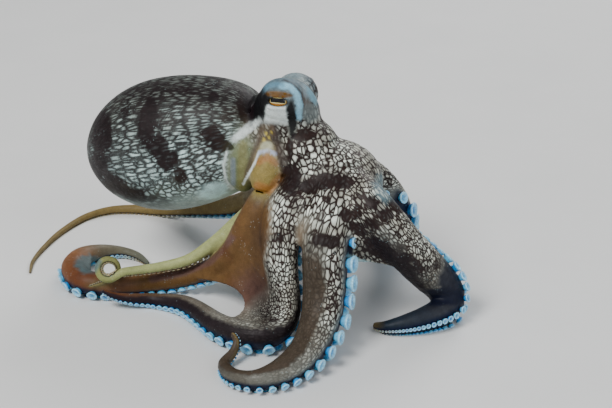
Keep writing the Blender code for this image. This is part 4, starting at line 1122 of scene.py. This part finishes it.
def paint_eyes(points, coat, net):
    """Gold above each eye's opening, black at its corners, a white patch and a dark bar below."""
    for side, centre in EYEBALLS.items():
        gaze, level, upright = eye_frame(side)
        away = points - np.array(centre)
        across, height = away @ level, away @ upright
        forward = across * np.sign(level[0])
        here = smooth(-6.0, -3.0, away @ gaze)

        def oval(ahead, over, half_ahead, half_over, soft, full):
            """1 inside an oval at a place ahead of and over the eye's centre."""
            reach = np.hypot((forward - ahead) / half_ahead, (height - over) / half_over)
            return 1 - smooth(soft, full, reach)

        left_edge = -3.6 - 0.36 * np.maximum(-2.0 - height, 0)
        patch = smooth(-8.6, -6.2, height) * (1 - smooth(-1.9, -1.4, height)) \
            * smooth(-0.5, 0.5, forward - left_edge) * (1 - smooth(2.6, 3.2, forward))
        bar = 1 - smooth(0.75, 1.05, np.hypot((forward - 4.3 - 0.02 * height) / 1.45, (height + 6.2) / 7.4))
        marks = (
            (LID_BLACK, oval(-6.6, -1.5, 3.2, 5.5, 0.7, 1.2), 0.8),
            (PATCH_WHITE, patch, 0.95),
            (LID_BLACK, bar, 0.97),
            (LID_BLACK, oval(-3.9, 0.0, 1.7, 2.3, 0.7, 1.1), 0.95),
            (LID_BLACK, oval(0.0, -0.55, 3.8, 1.7, 0.80, 1.10), 0.97),
            (LID_GOLD, oval(0.2, 1.8, 4.5, 1.1, 0.75, 1.15) * (0.88 + 0.2 * wobble(points, 1.3, 8)), 1.0),
        )
        for colour, mark, strength in marks:
            mark = mark * here * strength
            for values, tone in zip(coat, (colour, colour * 0.85)):
                values += (tone - values) * mark[:, None]
            net *= 1 - mark


# Materials.

class Tree:
    """Short ways to add and join nodes."""

    def __init__(self, tree):
        self.tree = tree

    def add(self, kind, inputs=None, **settings):
        node = self.tree.nodes.new(kind)
        for name, value in settings.items():
            setattr(node, name, value)
        for name, value in (inputs or {}).items():
            self.set(node.inputs[name], value)
        return node

    def set(self, socket, value):
        if isinstance(value, bpy.types.NodeSocket):
            self.tree.links.new(value, socket)
        else:
            socket.default_value = value

    def math(self, operation, a, b=0.0, c=0.0):
        node = self.add("ShaderNodeMath", operation=operation)
        for socket, value in zip(node.inputs, (a, b, c)):
            self.set(socket, value)
        return node.outputs[0]

    def mix(self, share, a, b, kind="RGBA"):
        node = self.add("ShaderNodeMix", data_type=kind)
        first, out = {"FLOAT": (2, 0), "RGBA": (6, 2)}[kind]
        for index, value in ((0, share), (first, a), (first + 1, b)):
            self.set(node.inputs[index], value)
        return node.outputs[out]

    def scaled(self, vector, factor):
        """A colour or vector times a factor."""
        node = self.add("ShaderNodeVectorMath", {0: vector, "Scale": factor}, operation="SCALE")
        return node.outputs[0]

    def range(self, value, low, high, to_low=0.0, to_high=1.0):
        node = self.add("ShaderNodeMapRange", interpolation_type="SMOOTHSTEP")
        for socket, item in zip(node.inputs, (value, low, high, to_low, to_high)):
            self.set(socket, item)
        return node.outputs[0]

    def attribute(self, name, output="Vector"):
        return self.add("ShaderNodeAttribute", attribute_name=name).outputs[output]


def rgba(colour):
    """A colour with full cover."""
    return (*(float(c) for c in colour), 1.0)


def net_group():
    """Uneven cells, one to a unit: how far a point is from a cell's edge, and the cell's tone."""
    group = bpy.data.node_groups.new("skin_net", "ShaderNodeTree")
    group.interface.new_socket("Place", in_out="INPUT", socket_type="NodeSocketVector")
    for name in ("Edge", "Tone"):
        group.interface.new_socket(name, in_out="OUTPUT", socket_type="NodeSocketFloat")
    t = Tree(group)
    place = t.add("NodeGroupInput").outputs[0]
    drift = t.add("ShaderNodeTexNoise", {"Vector": place, "Scale": 0.55, "Detail": 1.0})
    pulled = t.add("ShaderNodeVectorMath", {0: drift.outputs["Color"], 1: (0.9, 0.9, 0.9), 2: place},
                   operation="MULTIPLY_ADD")
    cells = {"Vector": pulled.outputs[0], "Scale": 1.0, "Randomness": 0.72}
    edge = t.add("ShaderNodeTexVoronoi", cells, feature="DISTANCE_TO_EDGE")
    tone = t.add("ShaderNodeTexVoronoi", cells, feature="F1")
    parts = t.add("ShaderNodeSeparateColor", {"Color": tone.outputs["Color"]})
    out = t.add("NodeGroupOutput")
    t.set(out.inputs[0], edge.outputs["Distance"])
    t.set(out.inputs[1], parts.outputs[0])
    return group


def new_material(name, constants):
    """A material, its tree and its shader, which takes the constants straight on its sockets."""
    made = bpy.data.materials.new(name)
    made.use_nodes = True
    made.node_tree.nodes.clear()
    t = Tree(made.node_tree)
    shader = t.add("ShaderNodeBsdfPrincipled", constants)
    output = t.add("ShaderNodeOutputMaterial")
    t.set(output.inputs["Surface"], shader.outputs[0])
    return made, t, shader


def skin_material():
    """Pale cells on a dark ground, each from the mesh's own values, with grain and fine relief."""
    made, t, shader = new_material("octopus_skin", {
        "Subsurface Weight": 0.05, "Subsurface Radius": (1.0, 0.7, 0.55), "Subsurface Scale": 0.0005,
        "Specular IOR Level": 0.17, "Coat Weight": 0.04, "Coat Roughness": 0.35})
    group = net_group()
    found = []
    for name in ("net_mantle", "net_crown", "net_even", "net_odd", "net_flank"):
        node = t.add("ShaderNodeGroup", node_tree=group)
        t.set(node.inputs[0], t.attribute(name))
        found.append(node.outputs)
    zone = t.add("ShaderNodeAttribute", attribute_name="zone")
    parts = t.add("ShaderNodeSeparateColor", {"Color": zone.outputs["Color"]})
    mantle, front, odd = parts.outputs
    net = zone.outputs["Alpha"]
    marks = t.add("ShaderNodeSeparateColor", {"Color": t.attribute("marks", "Color")})
    dark, rounder, _ = marks.outputs

    def picked(index):
        arms = t.mix(odd, found[2][index], found[3][index], "FLOAT")
        body = t.mix(rounder, found[0][index], found[4][index], "FLOAT")
        return t.mix(mantle, t.mix(front, arms, found[1][index], "FLOAT"), body, "FLOAT")

    edge, tone = picked(0), picked(1)
    line = t.attribute("line", "Fac")
    inside = t.range(edge, t.math("MULTIPLY", line, 0.35), t.math("MULTIPLY_ADD", line, 1.45, 0.05))
    shown = t.mix(net, 1.0, inside, "FLOAT")
    cell, ground = t.attribute("cell", "Color"), t.attribute("ground", "Color")

    where = t.add("ShaderNodeTexCoord").outputs["Object"]
    mottle = t.add("ShaderNodeTexNoise", {"Vector": where, "Scale": 420.0, "Detail": 5.0, "Roughness": 0.6})
    grain = t.add("ShaderNodeTexNoise", {"Vector": where, "Scale": 2600.0, "Detail": 3.0, "Roughness": 0.65})
    toned = t.math("MULTIPLY", net, 0.55)
    light = t.math("MULTIPLY_ADD", tone, toned, t.math("MULTIPLY_ADD", net, -0.26, 1.0))
    for factor in (t.mix(net, 1.0, t.range(edge, 0.12, 0.42, 0.82, 1.10), "FLOAT"),
                   t.range(mottle.outputs["Fac"], 0.25, 0.75, 0.84, 1.14),
                   t.range(grain.outputs["Fac"], 0.3, 0.7, 0.88, 1.10)):
        light = t.math("MULTIPLY", light, factor)
    shade = t.range(t.math("MULTIPLY_ADD", tone, 0.42, t.math("ADD", dark, -0.21)), 0.30, 0.60, 0.0, 0.93)
    cell = t.mix(shade, cell, rgba(DARK_CELLS_AND_SHADE))
    deep = t.scaled(ground, t.range(mottle.outputs["Fac"], 0.3, 0.7, 0.75, 1.35))
    colour = t.mix(shown, deep, t.scaled(cell, light))

    # Pale pin specks, sparse.
    speck = t.add("ShaderNodeTexVoronoi", {"Vector": where, "Scale": 900.0}, feature="F1")
    sparse = t.add("ShaderNodeTexNoise", {"Vector": where, "Scale": 160.0, "Detail": 2.0})
    dots = t.math("MULTIPLY", t.range(speck.outputs["Distance"], 0.13, 0.24, 1.0, 0.0),
                  t.range(sparse.outputs["Fac"], 0.54, 0.64, 0.0, 0.16))
    colour = t.mix(dots, colour, rgba(ICE))
    t.set(shader.inputs["Base Color"], colour)

    height = t.math("MULTIPLY", t.math("MULTIPLY", inside, net), 0.7)
    height = t.math("ADD", height, t.math("MULTIPLY", mottle.outputs["Fac"], 0.9))
    height = t.math("ADD", height, t.math("MULTIPLY", grain.outputs["Fac"], 0.25))
    bump = t.add("ShaderNodeBump", {"Height": height, "Strength": 0.55, "Distance": 0.00022})
    t.set(shader.inputs["Normal"], bump.outputs[0])
    t.set(shader.inputs["Roughness"], t.range(mottle.outputs["Fac"], 0.3, 0.7, 0.60, 0.46))
    return made


def sucker_material():
    """Ice-white rims, an electric blue wall and a dark cup. The tone picks blue, or tan near the tips."""
    made, t, shader = new_material("octopus_suckers", {
        "Roughness": 0.34, "Subsurface Weight": 0.15, "Subsurface Scale": 0.0006, "Coat Weight": 0.3,
        "Coat Roughness": 0.15})
    rise = t.attribute("cup_rise", "Fac")
    hollow = t.attribute("cup_hollow", "Fac")
    tone = t.attribute("sucker_tone", "Color")
    where = t.add("ShaderNodeTexCoord").outputs["Object"]
    noise = t.add("ShaderNodeTexNoise", {"Vector": where, "Scale": 1500.0, "Detail": 3.0})
    wall = t.mix(t.range(rise, 0.0, 0.40), rgba(NAVY), tone)
    rim = t.mix(t.range(rise, 0.55, 0.95), wall, t.attribute("sucker_rim", "Color"))
    cup = t.mix(t.range(hollow, 0.25, 1.0), rim, t.mix(0.35, tone, rgba(srgb(60, 110, 150))))
    t.set(shader.inputs["Base Color"], t.scaled(cup, t.range(noise.outputs["Fac"], 0.3, 0.7, 0.82, 1.15)))
    bump = t.add("ShaderNodeBump", {"Height": noise.outputs["Fac"], "Strength": 0.3, "Distance": 0.0001})
    t.set(shader.inputs["Normal"], bump.outputs[0])
    return made


def eye_material():
    """A flat black pupil in a cream rim, on a streaked gold iris that darkens outwards."""
    made, t, shader = new_material("octopus_eye", {
        "Roughness": 0.22, "Coat Weight": 1.0, "Coat Roughness": 0.03})
    aim = t.add("ShaderNodeSeparateXYZ", {"Vector": t.attribute("aim")})
    across, height, _ = aim.outputs
    squares = []
    for value, half in zip((across, t.math("ADD", height, PUPIL_DROP)), PUPIL_HALF):
        beyond = t.math("MAXIMUM", t.math("SUBTRACT", t.math("ABSOLUTE", value), half), 0.0)
        squares.append(t.math("POWER", beyond, 2.0))
    corner = t.math("POWER", t.math("ADD", *squares), 0.5)
    pupil = t.range(corner, 0.12, 0.20, 1.0, 0.0)
    rim = t.range(corner, 0.34, 0.46, 1.0, 0.0)
    where = t.attribute("aim")
    streaks = t.add("ShaderNodeTexNoise", {"Vector": where, "Scale": 3.2, "Detail": 6.0, "Roughness": 0.7})
    golds = [rgba(srgb(*tone)) for tone in ((122, 70, 12), (204, 142, 40))]
    gold = t.mix(t.range(streaks.outputs["Fac"], 0.35, 0.65), *golds)
    radius = t.math("POWER", t.math("ADD", t.math("MULTIPLY", across, across),
                                    t.math("MULTIPLY", height, height)), 0.5)
    gold = t.mix(t.range(radius, *IRIS_EDGE), gold, rgba(srgb(26, 16, 12)))
    colour = t.mix(rim, gold, rgba(srgb(222, 206, 140)))
    colour = t.mix(pupil, colour, rgba(srgb(3, 3, 5)))
    t.set(shader.inputs["Base Color"], colour)
    return made


def floor_material():
    """A plain, pale, matt floor."""
    made, t, shader = new_material("studio_floor", {"Roughness": 0.8})
    where = t.add("ShaderNodeTexCoord").outputs["Object"]
    noise = t.add("ShaderNodeTexNoise", {"Vector": where, "Scale": 30.0, "Detail": 4.0})
    tones = [rgba(srgb(*tone)) for tone in ((222, 223, 222), (230, 230, 229))]
    t.set(shader.inputs["Base Color"], t.mix(noise.outputs["Fac"], *tones))
    return made


# Suckers.

def cup_object():
    """One sucker of unit rim radius, from its foot up to its rim and down into its hollow."""
    turn = np.linspace(0, 2 * math.pi, CUP_SIDES, endpoint=False)
    rings = [np.stack([r * np.cos(turn), r * np.sin(turn), np.full(CUP_SIDES, z)], 1)
             for r, z in CUP_SECTION]
    points, faces = loft(rings, (0, 0, -0.7), (0, 0, 0.30))
    mesh = bpy.data.meshes.new("cup")
    mesh.from_pydata(points.tolist(), [], faces.tolist())
    mesh.shade_smooth()
    index = np.concatenate([np.repeat(np.arange(len(CUP_SECTION)), CUP_SIDES), [0, len(CUP_SECTION)]])
    give(mesh, "cup_rise", np.clip((points[:, 2] + 0.2) / 1.06, 0, 1), "FLOAT")
    give(mesh, "cup_hollow", np.clip((index - 6) / 5.0, 0, 1), "FLOAT")
    return linked("cup", mesh)


def sucker_points(arm):
    """Where the suckers of one arm stand: foot, outward direction and size."""
    found = []
    for row in (-1, 1):
        length = arm.length_at(FIRST_SUCKER)
        radius = np.interp(length, arm.lengths, arm.radii)
        length += 0.5 * SUCKER_PITCH * radius * (row > 0)
        while length < arm.lengths[-1] - 0.4:
            point, radius, tangent, face, side = (value[0] for value in arm.read(np.array([length])))
            share = length / arm.lengths[-1]
            near, far = SUCKER_SCALES.get(arm.name, (1.0, 1.0))
            finer = near + (far - near) * float(smooth(0.5, 0.9, share))
            size = max(SUCKER_SIZE * radius * finer, LEAST_SUCKER)
            control = np.interp(length, arm.lengths, arm.at)
            size *= 0.55 + 0.45 * float(smooth(FIRST_SUCKER, FIRST_SUCKER + 1.2, control))
            start, foot, turn, stop = SUCKER_STANDS.get(arm.name, (0.0, USUAL_FOOT, 0.0, 1.0))
            shown = float(smooth(start - 0.02, start + 0.06, share)) if start else 1.0
            angle = row * SUCKER_SPREAD + turn * shown * float(1 - smooth(stop - 0.1, stop + 0.1, share))
            out = unit(math.cos(angle) * face + math.sin(angle) * side)
            reach = SUNK_FOOT + (foot - SUNK_FOOT) * shown
            found.append((point + out * radius * reach, out, tangent, size, share))
            pitch = SUCKER_PITCH * SUCKER_PITCHES.get(arm.name, 1.0)
            length += max(pitch * radius * finer, LEAST_PITCH)
    return found


def sucker_tree(material):
    """Puts the cup on every point, turned and sized by the points' own values."""
    group = bpy.data.node_groups.new("suckers", "GeometryNodeTree")
    group.is_modifier = True
    group.interface.new_socket("Geometry", in_out="INPUT", socket_type="NodeSocketGeometry")
    cup = group.interface.new_socket("Cup", in_out="INPUT", socket_type="NodeSocketObject")
    size = group.interface.new_socket("Size factor", in_out="INPUT", socket_type="NodeSocketFloat")
    group.interface.new_socket("Geometry", in_out="OUTPUT", socket_type="NodeSocketGeometry")
    t = Tree(group)
    inputs = t.add("NodeGroupInput").outputs
    info = t.add("GeometryNodeObjectInfo", {"Object": inputs[1]})
    turn = t.add("GeometryNodeInputNamedAttribute", {"Name": "sucker_turn"}, data_type="FLOAT_VECTOR")
    scale = t.add("GeometryNodeInputNamedAttribute", {"Name": "sucker_size"}, data_type="FLOAT")
    placed = t.add("GeometryNodeInstanceOnPoints", {
        "Points": inputs[0], "Instance": info.outputs["Geometry"], "Rotation": turn.outputs[0],
        "Scale": t.math("MULTIPLY", scale.outputs[0], inputs[2])})
    real = t.add("GeometryNodeRealizeInstances", {"Geometry": placed.outputs[0]})
    painted = t.add("GeometryNodeSetMaterial", {"Geometry": real.outputs[0], "Material": material})
    t.set(t.add("NodeGroupOutput").inputs[0], painted.outputs[0])
    return group, cup.identifier, size.identifier


def make_suckers(arm, tree, cup):
    """All the suckers of one arm as one piece."""
    found = sucker_points(arm)
    group, cup_key, size_key = tree
    mesh = bpy.data.meshes.new(f"suckers_{arm.name}")
    feet = (np.array([f[0] for f in found]) + SHIFT) * MM
    mesh.from_pydata(feet.tolist(), [], [])
    turns, sizes, tones, rims = [], [], [], []
    for k, (_, out, tangent, size, share) in enumerate(found):
        across = unit(np.cross(out, tangent))
        turn = Matrix((np.cross(across, out), across, out)).transposed()
        turns.append(tuple(turn.to_euler()))
        sizes.append(size * MM)
        faded = smooth(*SUCKER_TAN[arm.name], share)
        tones.append(mixed(mixed(*SUCKER_BLUES, 0.5 + 0.5 * math.sin(k * 2.1)), SUCKER_BROWN, faded))
        rims.append(mixed(RIM_ICE, RIM_TAN, faded))
    for name, values, kind in (("turn", turns, "FLOAT_VECTOR"), ("size", sizes, "FLOAT"),
                               ("tone", tones, "FLOAT_COLOR"), ("rim", rims, "FLOAT_COLOR")):
        give(mesh, f"sucker_{name}", values, kind)
    obj = linked(mesh.name, mesh)
    step = obj.modifiers.new("suckers", "NODES")
    step.node_group = group
    step[cup_key] = cup
    step[size_key] = 1.0
    applied(obj)
    place_points(obj.data, above_floor(points_of(obj.data)))
    return obj


def make_eye(side, material):
    """One eyeball, which carries the directions that its pupil is drawn by."""
    eye = mesh_object(f"eyeball_{side}", [ellipsoid(EYEBALLS[side], (EYE_RADIUS,) * 3, 64, 48)])
    gaze, level, upright = eye_frame(side)
    away = points_of(eye.data) - np.array(EYEBALLS[side])
    give(eye.data, "aim", np.stack([away @ level, away @ upright, away @ gaze], axis=1), "FLOAT_VECTOR")
    eye.data.shade_smooth()
    eye.data.materials.append(material)
    return eye


# Stage.

def make_stage():
    """The floor, the sky's light and three soft lamps."""
    floor_mesh = bpy.data.meshes.new("floor")
    corners = [(x * FLOOR_HALF, y * FLOOR_HALF, 0) for x, y in ((-1, -1), (1, -1), (1, 1), (-1, 1))]
    floor_mesh.from_pydata(corners, [], [(0, 1, 2, 3)])
    floor_mesh.materials.append(floor_material())
    linked("floor", floor_mesh)
    world = bpy.data.worlds.new("studio")
    world.use_nodes = True
    sky = world.node_tree.nodes["Background"].inputs
    sky["Color"].default_value, sky["Strength"].default_value = SKY_COLOUR, SKY_STRENGTH
    bpy.context.scene.world = world
    for name, place, size, power, colour in STUDIO_LIGHTS:
        lamp = bpy.data.lights.new(name, "AREA")
        lamp.shape, lamp.size, lamp.energy, lamp.color = "DISK", size, power, colour
        obj = linked(name, lamp)
        obj.matrix_world = turned(unit(np.array(place) - LIGHTS_AIM), np.array(place))


def turned(back, place):
    """A matrix that looks along -back from a place, with +Z up."""
    right = unit(np.cross((0.0, 0.0, 1.0), back))
    columns = np.stack([right, np.cross(back, right), back, place], axis=1)
    return Matrix([*columns.tolist(), (0.0, 0.0, 0.0, 1.0)])


def make_camera():
    """The camera at the photograph's angle and distance."""
    _, _, back, eye = camera_axes()
    camera = bpy.data.cameras.new("camera")
    camera.sensor_width = 36.0
    camera.lens = camera.sensor_width * CAMERA_DISTANCE / (PHOTO_WIDTH * MM_PER_PIXEL)
    camera.clip_start = 0.01
    obj = linked("camera", camera)
    obj.matrix_world = turned(back, (eye + SHIFT) * MM)
    bpy.context.scene.camera = obj


def main():
    """Makes every piece and hides the nodes it replaces."""
    arms = {name: Arm(name) for name in ARMS}
    nodes = sorted(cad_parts)
    skin = make_skin(arms)
    paint(skin.data, arms)
    skin.data.materials.clear()
    skin.data.materials.append(skin_material())
    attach(skin, "root")
    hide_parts(*(name for name in nodes if not name.startswith("eye_")))

    rims = sucker_material()
    tree, cup = sucker_tree(rims), cup_object()
    for name, arm in arms.items():
        suckers = make_suckers(arm, tree, cup)
        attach(suckers, "root")
        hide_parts(*(node for node in nodes if node.startswith(f"arm_{name}_")))
    bpy.data.objects.remove(cup, do_unlink=True)

    iris = eye_material()
    for side in EYEBALLS:
        eye = make_eye(side, iris)
        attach(eye, "root")
        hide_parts(f"eye_{side}")
    make_stage()
    make_camera()


main()
